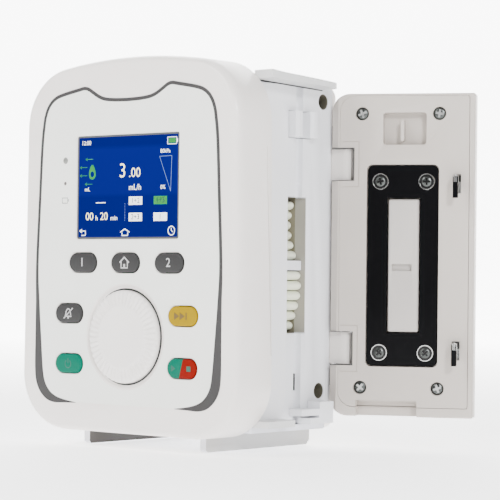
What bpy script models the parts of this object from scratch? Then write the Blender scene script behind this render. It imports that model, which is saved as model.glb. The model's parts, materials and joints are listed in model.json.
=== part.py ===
"""Infusion pump with an open side door, built as an assembly of separate pieces.

Shapes are laid out in millimetres in the pump's own layout frame: X to the right from the
casing's centreline, Y backwards from the front panel, Z up from the floor. Meshes are written
in metres. The door's pieces are laid out closed and hang from an empty on the hinge axis,
which turns them to the open rest position.
"""
from math import acos, atan2, cos, pi, radians, sin, sqrt

import bmesh
import bpy
from mathutils import Vector

# ---------------------------------------------------------------- driving dimensions, mm, degrees
MM = 0.001
GAP = 0.3
WALL = 2.5

CASE_HALF_WIDTH = 60.0
CASE_BOTTOM = 6.0
CASE_TOP = 162.3
CASE_FLARE = 0.032
CROWN_RADIUS = 260.0
TOP_CORNER = 25.0
BOTTOM_CORNER = 24.0
BEZEL_DEPTH = 21.0
BEZEL_EDGE = (2.6, 4.8)
FACE_THICKNESS = 3.0

BODY_LEFT = -57.0
BODY_RIGHT = 48.5
BODY_BOTTOM = 8.0
BODY_TOP = 153.8
BODY_CORNER = 16.0
BODY_SPLIT = 70.2
BODY_BACK = 80.0

DISPLAY = (0.0, 108.3)
DISPLAY_SIZE = (57.8, 43.2)
DIAL = (0.0, 46.3)
DIAL_RADIUS = 19.2
KEY_SIZE = (15.4, 7.9)
KEY_PROUD = 0.9
KEYS = {
    "key_f1": (-24.5, 76.8, "key_grey"),
    "key_home": (0.0, 76.8, "key_grey"),
    "key_f2": (24.5, 76.8, "key_grey"),
    "key_mute": (-32.3, 55.4, "key_grey"),
    "key_bolus": (32.3, 55.4, "key_yellow"),
    "key_power": (-32.1, 34.3, "key_green"),
    "key_start_stop": (32.1, 34.3, "key_red"),
}

PANEL_FACE = 50.0
PANEL_DEPTH = 6.0
PANEL_Z = (11.0, 151.0)
PANEL_LIP = (48.8, 73.2)
PANEL_SCREWS = ((67.2, 145.6), (66.0, 24.0))
PANEL_SCREW_ROOM = 3.3
TUBE_CLIP_Y = (44.2, 58.3)
TUBE_CLIP_Z = (129.6, 140.3)
TUBE_CLIP_TIP = 54.8
TUBE_GUIDE_X = (50.3, 57.0)
SENSOR_LOW = (39.0, 47.3, 24.7)
SENSOR_HIGH = (45.9, 54.9, 33.4)
TUBE_Y = 51.1
GROOVE_WIDTH = 4.8
GROOVE_DEPTH = 4.0
FINGER_SLOT_Y = (44.3, 56.5)
FINGER_SLOT_Z = (48.3, 105.0)
FINGER_PITCH = 4.2
FINGER_HEIGHT = 3.9
FINGER_LENGTH = 7.1
FINGER_TIP_MEAN = 44.8
FINGER_STROKE = 2.9
FINGERS_PER_SIDE = 6
PLUNGER_Z = 76.5
PEAK_Z = PLUNGER_Z - 2 * FINGER_PITCH
CAM_AXIS = (24.0, 50.4)
CAM_RADIUS = 7.6
CAM_CORE = 4.0
JOURNAL_RADIUS = 3.0
MOTOR_AXIS = (-2.0, 50.4)

LEDGE_OUT = 60.0
CAP_CORNER = 3.0
CAP_FRONT_SEAT = 152.4
CAP_SLOPE = ((21.3, 156.2), (28.0, 155.5), (43.0, 154.6), (50.0, 153.8), (66.5, 152.7))
BOTTOM_LEDGE_Z = (10.6, 13.3)
BOTTOM_LEDGE_BACK = 40.0
HOOK_ROOM_BELOW = 7.0
HOOK_ROOM_ABOVE = 2.0
HOOK_Z = (105.0, 35.6)
HOOK_HEIGHT = 9.6
HOOK_THICKNESS = 2.1
HOOK_Y = 28.75

PIVOT = (56.3, 75.9)
DOOR_OPEN = 118.3
DOOR_X = (50.5, 60.5)
DOOR_Y = (21.3, 82.0)
DOOR_Z = (13.7, 149.0)
DOOR_CORNER = 8.0
DOOR_EDGE = 0.8
DOOR_CHAMFER = 3.0
DOOR_SKIN = 2.0
DOOR_CAVITY = ((23.65, 17.6), (78.2, 148.0))
DOOR_CAVITY_CORNERS = (1.0, 6.3, 6.3, 1.0)
DOOR_PANEL_BACK = 54.5
DOOR_BOSSES = (((72.8, 27.0), (77.7, 138.0), 58.2), ((40.0, 125.0), (62.0, 142.5), 57.2),
               ((43.0, 17.9), (72.0, 23.0), 58.2))
GUIDE_RECESS = ((44.9, 70.7), 20.4, 57.4)
CLIP_POCKET = ((41.8, 127.5), (60.0, 140.9), 55.6)
CLIP_FIN = ((51.2, 129.0), (52.6, 137.7), 56.0)
PLATE = ((36.7, 35.0), (66.3, 118.8))
PLATE_X = (51.3, 53.0)
PLATEN = ((44.5, 49.1), (57.6, 104.8))
PLATEN_X = (50.35, 51.0, 53.9)
PLATEN_WINDOW = ((47.5, 74.7), (55.8, 77.6))
LATCH_AXIS_Z = 75.0
LATCH_BAR_X = (54.9, 56.9)
LATCH_BAR_Z = (29.0, 126.0)
LUG_Z = ((112.8, 125.8), (35.4, 48.7))
LUG_RADIUS = 3.0
PIN_RADIUS = 1.2

VENT_X = (-40.0, -6.0)
VENT_Z = (116.0, 121.0, 126.0, 131.0, 136.0, 141.0)
VENT_HEIGHT = 2.0
INLET = ((-44.0, 21.0), (-20.0, 39.0))
INLET_FRONT = 66.0
BOARD = ((-48.0, 24.0), (40.0, 140.0))
RAIL_X = 33.0
RAIL_Y = (12.0, 79.0)
RAIL_WIDTH = 3.2

CLAMP_Z = 84.0
CLAMP_SCREW_Y = 98.5
POLE_GAP = (-1.0, 24.0)

# ---------------------------------------------------------------- finishes: colour, roughness, metallic
FINISHES = {
    "white_shell": ((0.80, 0.79, 0.78), 0.38, 0.0),
    "door_grey": ((0.70, 0.68, 0.66), 0.45, 0.0),
    "mech_white": ((0.78, 0.78, 0.79), 0.45, 0.0),
    "dial_white": ((0.80, 0.80, 0.80), 0.35, 0.0),
    "key_grey": ((0.24, 0.25, 0.27), 0.5, 0.0),
    "key_yellow": ((0.75, 0.48, 0.02), 0.45, 0.0),
    "key_green": ((0.03, 0.42, 0.26), 0.45, 0.0),
    "key_red": ((0.62, 0.05, 0.03), 0.45, 0.0),
    "screen_glass": ((0.02, 0.05, 0.35), 0.1, 0.0),
    "black_gloss": ((0.01, 0.01, 0.012), 0.15, 0.0),
    "black_plastic": ((0.02, 0.02, 0.022), 0.5, 0.0),
    "steel": ((0.6, 0.6, 0.6), 0.3, 1.0),
    "aluminium": ((0.7, 0.7, 0.72), 0.4, 1.0),
    "board_green": ((0.02, 0.16, 0.06), 0.5, 0.0),
    "rubber": ((0.03, 0.03, 0.03), 0.8, 0.0),
    "battery_blue": ((0.05, 0.12, 0.3), 0.4, 0.0),
}

ANCHORS = {}


# ---------------------------------------------------------------- scene helpers
def clear_scene():
    for old in list(bpy.data.objects):
        bpy.data.objects.remove(old, do_unlink=True)


def link(obj):
    bpy.context.scene.collection.objects.link(obj)
    return obj


def anchor(name, position=(0.0, 0.0, 0.0), turn=0.0, parent=None):
    """An empty that carries pieces; its layout position is kept so that children sit on it."""
    empty = link(bpy.data.objects.new(name, None))
    base = Vector(ANCHORS[parent]) if parent else Vector((0.0, 0.0, 0.0))
    empty.parent = parent
    empty.location = (Vector(position) - base) * MM
    empty.rotation_euler = (0.0, 0.0, radians(turn))
    ANCHORS[empty] = position
    return empty


def finish_material(name, finish):
    colour, roughness, metallic = FINISHES[finish]
    material = bpy.data.materials.new(name)
    material.use_nodes = True
    shader = material.node_tree.nodes["Principled BSDF"]
    shader.inputs["Base Color"].default_value = (*colour, 1.0)
    shader.inputs["Roughness"].default_value = roughness
    shader.inputs["Metallic"].default_value = metallic
    return material


def place(name, bm, parent, origin):
    """Turns a mesh laid out in millimetres into an object in metres with its own origin."""
    bmesh.ops.recalc_face_normals(bm, faces=bm.faces)
    bmesh.ops.translate(bm, verts=bm.verts, vec=-Vector(origin))
    bmesh.ops.scale(bm, verts=bm.verts, vec=(MM, MM, MM))
    mesh = bpy.data.meshes.new(name)
    bm.to_mesh(mesh)
    bm.free()
    obj = link(bpy.data.objects.new(name, mesh))
    obj.parent = parent
    obj.location = (Vector(origin) - Vector(ANCHORS[parent])) * MM
    return obj


def piece(name, bm, finish, parent, origin=(0.0, 0.0, 0.0), smooth=False):
    obj = place(name, bm, parent, origin)
    obj.data.materials.append(finish_material(name, finish))
    if smooth:
        obj.data.shade_smooth()
        obj.data.set_sharp_from_angle(angle=radians(35))
    return obj


def combine(obj, operation, shapes):
    """Boolean modifiers, one for each shape; the shapes themselves are hidden guides."""
    for index, bm in enumerate(shapes):
        guide = place(f"guide_{obj.name}_{operation.lower()}_{index}", bm, obj.parent, (0.0, 0.0, 0.0))
        guide.hide_render = True
        guide.display_type = "WIRE"
        modifier = obj.modifiers.new(f"{operation.lower()}_{index}", "BOOLEAN")
        modifier.operation = operation
        modifier.solver = "EXACT"
        modifier.object = guide
    return obj


def cut(obj, *shapes):
    return combine(obj, "DIFFERENCE", shapes)


def add(obj, *shapes):
    return combine(obj, "UNION", shapes)


# ---------------------------------------------------------------- outlines, lists of 2-D points
def arc(centre, radius, start, end, steps):
    """Points on an arc, angles in degrees, both ends included."""
    angles = [radians(start + (end - start) * i / steps) for i in range(steps + 1)]
    return [(centre[0] + radius * cos(a), centre[1] + radius * sin(a)) for a in angles]


def rounded(low, high, corners, steps=5, inset=0.0):
    """Rectangle with its own corner radii: low-low, high-low, high-high, low-high."""
    (a0, b0), (a1, b1) = low, high
    centres = ((a0, b0, 1, 1), (a1, b0, -1, 1), (a1, b1, -1, -1), (a0, b1, 1, -1))
    points = []
    for index, (a, b, da, db) in enumerate(centres):
        radius = corners[index] if isinstance(corners, (tuple, list)) else corners
        if radius <= inset:
            points.append((a + da * inset, b + db * inset))
            continue
        start = 180.0 + 90.0 * index
        points += arc((a + da * radius, b + db * radius), radius - inset, start, start + 90.0, steps)
    return points


def circle(centre, radius, steps):
    return arc(centre, radius, 0.0, 360.0, steps)[:-1]


def pill(centre, size, grow=0.0, steps=6):
    half, radius = size[0] / 2, size[1] / 2
    left = arc((centre[0] - half + radius, centre[1]), radius + grow, 90.0, 270.0, steps)
    right = arc((centre[0] + half - radius, centre[1]), radius + grow, -90.0, 90.0, steps)
    return left + right


def case_outline(inset=0.0, steps=6):
    """Front casing: round lower corners, round upper corners and a gently crowned top."""
    low_x = CASE_HALF_WIDTH - BOTTOM_CORNER
    high_x = CASE_HALF_WIDTH - TOP_CORNER
    crown_centre = CASE_TOP - CROWN_RADIUS
    reach = CROWN_RADIUS - TOP_CORNER
    high_z = crown_centre + sqrt(reach * reach - high_x * high_x)
    lean = 90.0 - atan2(high_x, high_z - crown_centre) * 180.0 / pi
    points = arc((low_x, CASE_BOTTOM + BOTTOM_CORNER), BOTTOM_CORNER - inset, -90.0, 0.0, steps)
    points += arc((high_x, high_z), TOP_CORNER - inset, 0.0, lean, steps)
    points += arc((0.0, crown_centre), CROWN_RADIUS - inset, lean, 180.0 - lean, steps)[1:-1]
    points += arc((-high_x, high_z), TOP_CORNER - inset, 180.0 - lean, 180.0, steps)
    points += arc((-low_x, CASE_BOTTOM + BOTTOM_CORNER), BOTTOM_CORNER - inset, 180.0, 270.0, steps)
    flare = CASE_FLARE / (CASE_TOP - CASE_BOTTOM)
    return [(x * (1.0 + flare * (CASE_TOP - z)), z) for x, z in points]


def body_outline(inset=0.0):
    return rounded((BODY_LEFT, BODY_BOTTOM), (BODY_RIGHT, BODY_TOP),
                   (BODY_CORNER, 4.0, 6.0, BODY_CORNER), 5, inset)


def belt_outline(first, first_radius, second, second_radius, steps):
    """Loop around two pulleys on a line along X, the first at the higher X."""
    distance = first[0] - second[0]
    lean = acos((first_radius - second_radius) / distance) * 180.0 / pi
    return (arc(first, first_radius, -lean, lean, steps)
            + arc(second, second_radius, lean, 360.0 - lean, steps))


# ---------------------------------------------------------------- solids, bmesh in millimetres
def lift(point, axis, along):
    """A point of an outline normal to axis, at a distance along it."""
    a, b = point
    return {"X": (along, a, b), "Y": (a, along, b), "Z": (a, b, along)}[axis]


def loft(axis, rings):
    """Closed solid through outlines of equal length, given as (outline, distance along axis)."""
    bm = bmesh.new()
    loops = [[bm.verts.new(lift(p, axis, along)) for p in outline] for outline, along in rings]
    count = len(loops[0])
    for lower, upper in zip(loops, loops[1:]):
        for i in range(count):
            j = (i + 1) % count
            bm.faces.new((lower[i], lower[j], upper[j], upper[i]))
    bm.faces.new(loops[0])
    bm.faces.new(loops[-1])
    return bm


def prism(axis, outline, low, high):
    return loft(axis, [(outline, low), (outline, high)])


def ring(axis, outer, inner, low, high):
    """Closed band between two outlines of equal length."""
    bm = bmesh.new()
    rows = [[bm.verts.new(lift(p, axis, along)) for p in outline]
            for outline, along in ((outer, low), (outer, high), (inner, high), (inner, low))]
    count = len(outer)
    for k in range(4):
        first, second = rows[k], rows[(k + 1) % 4]
        for i in range(count):
            j = (i + 1) % count
            bm.faces.new((first[i], first[j], second[j], second[i]))
    return bm


def box(low, high):
    return prism("Z", [(low[0], low[1]), (high[0], low[1]), (high[0], high[1]), (low[0], high[1])],
                 low[2], high[2])


def rod(axis, centre, radius, low, high, steps=20):
    return prism(axis, circle(centre, radius, steps), low, high)


def turned(axis, centre, profile, steps):
    """Closed solid of revolution; the profile is (radius, along) and starts and ends on the axis."""
    bm = bmesh.new()
    first = bm.verts.new(lift(centre, axis, profile[0][1]))
    last = bm.verts.new(lift(centre, axis, profile[-1][1]))
    loops = [[bm.verts.new(lift(p, axis, along)) for p in circle(centre, radius, steps)]
             for radius, along in profile[1:-1]]
    for i in range(steps):
        j = (i + 1) % steps
        bm.faces.new((first, loops[0][j], loops[0][i]))
        bm.faces.new((last, loops[-1][i], loops[-1][j]))
        for lower, upper in zip(loops, loops[1:]):
            bm.faces.new((lower[i], lower[j], upper[j], upper[i]))
    return bm


# ---------------------------------------------------------------- front: bezel, display, keys, dial
def front_bezel(root):
    edge_steps = 4
    rings = []
    for i in range(edge_steps + 1):
        angle = radians(90.0 * i / edge_steps)
        inset, along = BEZEL_EDGE
        rings.append((case_outline(inset * (1 - sin(angle))), along * (1 - cos(angle))))
    rings.append((case_outline(), BEZEL_DEPTH))
    bezel = piece("front_bezel", loft("Y", rings), "white_shell", root, smooth=True)
    half_w, half_h = DISPLAY_SIZE[0] / 2, DISPLAY_SIZE[1] / 2
    x, z = DISPLAY
    window = rounded((x - half_w, z - half_h), (x + half_w, z + half_h), 1.0, 3)
    rear_mouth = rounded((-54.0, 13.0), (46.5, 150.0), 16.0, 4)
    key_holes = [prism("Y", pill((kx, kz), KEY_SIZE, GAP), -2, FACE_THICKNESS + 1)
                 for kx, kz, _ in KEYS.values()]
    cut(bezel,
        prism("Y", case_outline(WALL), FACE_THICKNESS, BEZEL_DEPTH - WALL),
        prism("Y", rear_mouth, BEZEL_DEPTH - WALL - 0.5, BEZEL_DEPTH + 1),
        prism("Y", window, -1, FACE_THICKNESS + 1),
        rod("Y", DIAL, DIAL_RADIUS + 1.6, -1, 0.8, 48),
        rod("Y", DIAL, DIAL_RADIUS + 0.4, 0.5, FACE_THICKNESS + 1, 48),
        *key_holes)


def display(root):
    half_w, half_h = DISPLAY_SIZE[0] / 2 - GAP, DISPLAY_SIZE[1] / 2 - GAP
    x, z = DISPLAY
    pane = rounded((x - half_w, z - half_h), (x + half_w, z + half_h), 0.8, 3)
    piece("display_window", prism("Y", pane, 0.5, 1.7), "screen_glass", root)
    piece("display_module", box((x - 33, FACE_THICKNESS + GAP, z - 25), (x + 33, 8.0, z + 25)),
          "black_plastic", root)


def keys(root):
    for name, (x, z, finish) in KEYS.items():
        rings = [(pill((x, z), KEY_SIZE, -0.6), -KEY_PROUD),
                 (pill((x, z), KEY_SIZE, -0.15), -KEY_PROUD + 0.25),
                 (pill((x, z), KEY_SIZE), -KEY_PROUD + 0.7),
                 (pill((x, z), KEY_SIZE), 4.5)]
        piece(name, loft("Y", rings), finish, root, origin=(x, 0.0, z), smooth=True)


def dial(root):
    rim = DIAL_RADIUS
    profile = [(0.0, -2.6), (0.35 * rim, -2.55), (0.62 * rim, -2.4), (0.9 * rim, -2.0),
               (0.97 * rim, -1.5), (rim, -0.7), (rim, 3.6), (JOURNAL_RADIUS, 3.6),
               (JOURNAL_RADIUS, 8.4), (0.0, 8.4)]
    piece("dial_knob", turned("Y", DIAL, profile, 48), "dial_white", root,
          origin=(DIAL[0], 0.0, DIAL[1]), smooth=True)
    x, z = DIAL
    half = 6.5
    encoder = piece("rotary_encoder", box((x - half, 4.6, z - half), (x + half, 8.7, z + half)),
                    "aluminium", root)
    cut(encoder, rod("Y", DIAL, JOURNAL_RADIUS + GAP, 4, 9, 16))


# ---------------------------------------------------------------- casing behind the bezel
def mid_housing(root):
    low, high = BODY_BOTTOM, BODY_TOP
    outer = arc((BODY_LEFT + BODY_CORNER, low + BODY_CORNER), BODY_CORNER, 270.0, 180.0, 6)
    outer += arc((BODY_LEFT + BODY_CORNER, high - BODY_CORNER), BODY_CORNER, 180.0, 90.0, 6)
    inner_radius = BODY_CORNER - WALL
    inner = arc((BODY_LEFT + BODY_CORNER, high - BODY_CORNER), inner_radius, 90.0, 180.0, 6)
    inner += arc((BODY_LEFT + BODY_CORNER, low + BODY_CORNER), inner_radius, 180.0, 270.0, 6)
    end = PANEL_FACE - GAP
    outline = [(end, low)] + outer + [(end, high), (end, high - WALL)] + inner + [(end, low + WALL)]
    piece("mid_housing", prism("Y", outline, BEZEL_DEPTH + GAP, BODY_SPLIT), "white_shell", root,
          smooth=True)


def mechanism_panel(root):
    back = PANEL_FACE - PANEL_DEPTH
    low = (back, BEZEL_DEPTH + GAP, PANEL_Z[0])
    high = (PANEL_FACE, BODY_SPLIT, PANEL_Z[1])
    panel = piece("mechanism_panel", box(low, high), "mech_white", root)
    add(panel, box((PANEL_LIP[0], BODY_SPLIT - 1, PANEL_Z[0]), (PANEL_FACE, PANEL_LIP[1], PANEL_Z[1])))
    half = GROOVE_WIDTH / 2
    beyond = PANEL_FACE + 1
    behind = back - 1
    hook_room = [box((behind, HOOK_Y - 3.1, z - HOOK_ROOM_BELOW),
                     (beyond, HOOK_Y + 2.1, z + HOOK_HEIGHT + HOOK_ROOM_ABOVE)) for z in HOOK_Z]
    lug_room = [box((behind, PIVOT[1] - LUG_RADIUS - GAP, low - GAP), (beyond, PIVOT[1], high + GAP))
                for low, high in LUG_Z]
    cut(panel,
        box((PANEL_FACE - GROOVE_DEPTH, TUBE_Y - half, PANEL_Z[0] - 1),
            (beyond, TUBE_Y + half, PANEL_Z[1] + 1)),
        box((behind, FINGER_SLOT_Y[0], FINGER_SLOT_Z[0]), (beyond, FINGER_SLOT_Y[1], FINGER_SLOT_Z[1])),
        box((PANEL_FACE - 3.5, TUBE_CLIP_Y[0] - GAP, TUBE_CLIP_Z[0] - GAP),
            (beyond, TUBE_CLIP_Y[1] + GAP, TUBE_CLIP_Z[1] + GAP)),
        box((behind, SENSOR_LOW[1] - GAP, SENSOR_LOW[2] - GAP),
            (PANEL_FACE - 3.5, SENSOR_HIGH[1] + GAP, SENSOR_HIGH[2] + GAP)),
        *[rod("X", centre, PANEL_SCREW_ROOM, behind, beyond, 20) for centre in PANEL_SCREWS],
        *hook_room, *lug_room)


def side_ledges(root):
    front, back = BEZEL_DEPTH + GAP, CAP_SLOPE[-1][0]
    seat = PANEL_Z[1] + GAP
    profile = [(front, CAP_FRONT_SEAT), *CAP_SLOPE, (back, seat)]
    cap = piece("top_cap", prism("X", profile, PANEL_FACE + GAP, LEDGE_OUT), "white_shell", root)
    half = GROOVE_WIDTH / 2
    corner = arc((LEDGE_OUT - CAP_CORNER, back - CAP_CORNER), CAP_CORNER, 0.0, 90.0, 6)
    beyond = [(corner[-1][0], back + 1), (LEDGE_OUT + 1, back + 1), (LEDGE_OUT + 1, corner[0][1])]
    cut(cap,
        box((PANEL_FACE + 3.0, TUBE_Y - half, seat - 1), (LEDGE_OUT + 1, TUBE_Y + half, CASE_TOP)),
        prism("Z", corner + beyond, seat - 1, CASE_TOP))
    radius = 3.0
    ledge = [(PANEL_FACE + GAP, front), (LEDGE_OUT, front)]
    ledge += arc((LEDGE_OUT - radius, BOTTOM_LEDGE_BACK - radius), radius, 0.0, 90.0, 4)
    ledge += [(PANEL_FACE + GAP, BOTTOM_LEDGE_BACK)]
    piece("bottom_ledge", prism("Z", ledge, *BOTTOM_LEDGE_Z), "white_shell", root)


def tube_holders(root):
    base, floor, tip = PANEL_FACE - 3.2, PANEL_FACE - 2.0, TUBE_CLIP_TIP
    slope, cheek = 1.2, 4.3
    low, high = TUBE_CLIP_Y
    outline = [(base, low), (tip - slope, low), (tip, low + slope), (tip, low + cheek - slope),
               (tip - slope, low + cheek), (floor, low + cheek), (floor, high - cheek - 0.2),
               (tip - slope, high - cheek - 0.2), (tip, high - cheek + 1.0), (tip, high - slope),
               (tip - slope, high), (base, high)]
    piece("upper_tube_clip", prism("Z", outline, *TUBE_CLIP_Z), "mech_white", root)
    profile = [(46.0, 14.4), (57.5, 14.4), (57.5, 13.4), (51.5, 13.4), (51.5, 10.9), (67.0, 10.9),
               (67.0, 19.9), (58.0, 19.9), (58.0, 17.1), (46.0, 17.1)]
    piece("lower_tube_guide", prism("X", profile, *TUBE_GUIDE_X), "mech_white", root)
    piece("air_sensor", box(SENSOR_LOW, SENSOR_HIGH), "black_plastic", root)


def rear_cover(root):
    rings = [(body_outline(), BODY_SPLIT + GAP), (body_outline(), BODY_BACK - 3.5),
             (body_outline(1.0), BODY_BACK - 1.0), (body_outline(3.0), BODY_BACK)]
    cover = piece("rear_cover", loft("Y", rings), "white_shell", root, smooth=True)
    left, right = VENT_X
    vents = [box((left, BODY_BACK - 4, z), (right, BODY_BACK + 1, z + VENT_HEIGHT)) for z in VENT_Z]
    (low_x, low_z), (high_x, high_z) = INLET
    cut(cover,
        prism("Y", body_outline(WALL), BODY_SPLIT - 1, BODY_BACK - WALL),
        box((low_x - GAP, BODY_BACK - 5, low_z - GAP), (high_x + GAP, BODY_BACK + 1, high_z + GAP)),
        *vents)


def foot_rails(root):
    (front, back), seat, half = RAIL_Y, BODY_BOTTOM - GAP, RAIL_WIDTH / 2
    step, low_seat = BEZEL_DEPTH + GAP, CASE_BOTTOM - GAP
    outline = [(front + 1.0, 0.0), (back - 2.0, 0.0), (back, 2.0), (back, seat), (step, seat),
               (step, low_seat), (front, low_seat), (front, 1.0)]
    for name, x in (("left_foot_rail", -RAIL_X), ("right_foot_rail", RAIL_X)):
        piece(name, prism("X", outline, x - half, x + half), "white_shell", root)


# ---------------------------------------------------------------- what the casing holds inside
def electronics(root):
    (low_x, low_z), (high_x, high_z) = BOARD
    front = FACE_THICKNESS + 6.2
    board = piece("main_board", box((low_x, front, low_z), (high_x, front + 1.6, high_z)), "board_green",
                  root)
    corners = [(x, z) for x in (low_x + 6.0, high_x - 6.0) for z in (low_z + 6.0, high_z - 6.0)]
    cut(board, *[rod("Y", corner, 1.6, front - 1, front + 3, 12) for corner in corners])
    pack = prism("Z", rounded((-50.0, 28.0), (-14.0, 64.0), 3.0, 3), 18.0, 68.0)
    piece("battery_pack", pack, "battery_blue", root)

    (low_x, low_z), (high_x, high_z) = INLET
    flange = box((low_x - 2.0, BODY_BACK + GAP, low_z - 2.5), (high_x + 2.0, BODY_BACK + 2.3, high_z + 2.5))
    inlet = piece("power_inlet", flange, "black_plastic", root)
    add(inlet, box((low_x, INLET_FRONT, low_z), (high_x, BODY_BACK + 1.0, high_z)))
    cut(inlet, box((low_x + 2.0, INLET_FRONT + 2.0, low_z + 2.0),
                   (high_x - 2.0, BODY_BACK + 3.0, high_z - 2.0)))
    middle_x, middle_z = (low_x + high_x) / 2, (low_z + high_z) / 2
    add(inlet, *[box((middle_x + dx - 1.0, INLET_FRONT + 1.0, middle_z + dz - 2.0),
                     (middle_x + dx + 1.0, INLET_FRONT + 10.0, middle_z + dz + 2.0))
                 for dx, dz in ((-5.5, 1.5), (0.0, -1.5), (5.5, 1.5))])


def drive(root):
    cx, cy = CAM_AXIS
    outline = [(8.6, 40.0), (43.0, 40.0), (43.0, 43.0), (12.6, 43.0), (12.6, 111.0), (43.0, 111.0),
               (43.0, 114.0), (8.6, 114.0)]
    chassis = piece("mechanism_chassis", prism("Y", outline, 38.0, 63.0), "aluminium", root)
    cut(chassis, rod("Z", CAM_AXIS, JOURNAL_RADIUS + GAP, 38.0, 116.0, 16))

    journal = circle(CAM_AXIS, JOURNAL_RADIUS, 16)
    camshaft_rings = [(journal, 38.0), (journal, 44.0)]
    for z in finger_heights():
        phase = finger_phase(z)
        centre = (cx + FINGER_STROKE * cos(phase), cy + FINGER_STROKE * sin(phase))
        for radius, middle, height in ((CAM_CORE, CAM_AXIS, z - 1.8), (CAM_RADIUS, centre, z - 1.8),
                                       (CAM_RADIUS, centre, z + 1.8), (CAM_CORE, CAM_AXIS, z + 1.8)):
            camshaft_rings.append((circle(middle, radius, 16), height))
    camshaft_rings += [(journal, 110.0), (journal, 122.0)]
    piece("camshaft", loft("Z", camshaft_rings), "steel", root, origin=(cx, cy, 0.0), smooth=True)

    pulley = piece("cam_pulley", rod("Z", CAM_AXIS, 9.0, 116.5, 120.5, 24), "aluminium", root,
                   origin=(cx, cy, 0.0), smooth=True)
    cut(pulley, rod("Z", CAM_AXIS, JOURNAL_RADIUS + 0.05, 116.0, 121.0, 16))
    profile = [(0.0, 109.0), (1.5, 109.0), (1.5, 116.5), (4.5, 116.5), (4.5, 120.5), (0.0, 120.5)]
    piece("motor_pulley", turned("Z", MOTOR_AXIS, profile, 20), "aluminium", root,
          origin=(*MOTOR_AXIS, 0.0), smooth=True)
    motor = piece("drive_motor", rod("Z", MOTOR_AXIS, 10.0, 74.0, 113.0, 24), "steel", root, smooth=True)
    cut(motor, rod("Z", MOTOR_AXIS, 1.8, 108.0, 114.0, 12))
    outer = belt_outline(CAM_AXIS, 10.8, MOTOR_AXIS, 6.3, 14)
    inner = belt_outline(CAM_AXIS, 9.6, MOTOR_AXIS, 5.1, 14)
    piece("drive_belt", ring("Z", outer, inner, 117.0, 120.0), "rubber", root)


def finger_heights():
    """Heights of the twelve fingers, bottom first, six on each side of the centre plunger."""
    steps = [k for k in range(-FINGERS_PER_SIDE, FINGERS_PER_SIDE + 1) if k != 0]
    return [PLUNGER_Z + FINGER_PITCH * k for k in steps]


def finger_phase(z):
    """Phase of the travelling wave: one period over the whole row of fingers."""
    return 2 * pi * (z - PEAK_Z) / (2 * FINGERS_PER_SIDE * FINGER_PITCH)


def fingers(root):
    y0, y1 = FINGER_SLOT_Y[0] + GAP, FINGER_SLOT_Y[1] - GAP
    half = FINGER_HEIGHT / 2
    for index, z in enumerate(finger_heights()):
        tip = FINGER_TIP_MEAN + FINGER_STROKE * cos(finger_phase(z))
        rear = tip - FINGER_LENGTH
        outline = [(rear, z - half), (tip - 1.6, z - half), (tip - 0.4, z - half + 0.55), (tip, z - 0.8),
                   (tip, z + 0.8), (tip - 0.4, z + half - 0.55), (tip - 1.6, z + half), (rear, z + half)]
        piece(f"finger_{index + 1:02d}", prism("Y", outline, y0, y1), "mech_white", root,
              origin=(rear, CAM_AXIS[1], z))
    tip = 47.5
    outline = [(37.0, PLUNGER_Z - half), (tip, PLUNGER_Z - half), (tip, PLUNGER_Z + half),
               (37.0, PLUNGER_Z + half)]
    piece("pressure_plunger", prism("Y", outline, y0, y1), "mech_white", root,
          origin=(37.0, CAM_AXIS[1], PLUNGER_Z))


# ---------------------------------------------------------------- hinge and door
def hinge(root):
    x, y = PIVOT
    foot = BODY_RIGHT + GAP
    outline = [(foot, y - LUG_RADIUS)] + arc(PIVOT, LUG_RADIUS, -90.0, 90.0, 8) + [(foot, y + LUG_RADIUS)]
    for label, (low, high) in zip(("upper", "lower"), LUG_Z):
        lug = piece(f"hinge_lug_{label}", prism("Z", outline, low, high), "white_shell", root, smooth=True)
        cut(lug, rod("Z", PIVOT, PIN_RADIUS + GAP, low - 1, high + 1, 16))
        piece(f"hinge_pin_{label}", rod("Z", PIVOT, PIN_RADIUS, low - 5.0, high + 5.0, 16), "steel", root,
              smooth=True)


def lug_notches():
    """Room for the two hinge lugs at the door's hinge edge."""
    return [box((DOOR_X[0] - 2, PIVOT[1] - 3.9, low - 0.5), (DOOR_X[1] + 2, DOOR_Y[1] + 2, high + 0.5))
            for low, high in LUG_Z]


def guide_recess():
    """Room in the door's lower edge for the lower tube guide."""
    (front, back), top, depth = GUIDE_RECESS
    return box((DOOR_X[0] - 1, front, DOOR_Z[0] - 1), (depth, back, top))


def hinge_chamfer():
    """Corner taken off the door's inner hinge edge so that it turns clear of the casing."""
    x, y = DOOR_X[0], DOOR_Y[1]
    run = DOOR_CHAMFER + 1
    return prism("Z", [(x - 1, y - run), (x + run, y + 1), (x - 1, y + 1)], DOOR_Z[0] - 1, DOOR_Z[1] + 1)


def door_outline(inset, steps=5):
    return rounded((DOOR_Y[0], DOOR_Z[0]), (DOOR_Y[1], DOOR_Z[1]), (0.9, DOOR_CORNER, DOOR_CORNER, 0.9),
                   steps, inset)


def door_shell(door):
    rings = [(door_outline(DOOR_EDGE), DOOR_X[0]), (door_outline(0.0), DOOR_X[0] + DOOR_EDGE),
             (door_outline(0.0), DOOR_X[1] - 1.4), (door_outline(0.4), DOOR_X[1] - 0.4),
             (door_outline(0.85), DOOR_X[1])]
    shell = piece("door_outer_shell", loft("X", rings), "door_grey", door, origin=(*PIVOT, 0.0),
                  smooth=True)
    cavity = rounded(*DOOR_CAVITY, DOOR_CAVITY_CORNERS, 4)
    cut(shell,
        prism("X", cavity, DOOR_X[0] - 1, DOOR_X[1] - DOOR_SKIN),
        guide_recess(),
        hinge_chamfer(),
        rod("X", (HOOK_Y, LATCH_AXIS_Z), 2.3, 57.0, 62.0, 16),
        *lug_notches())


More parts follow.
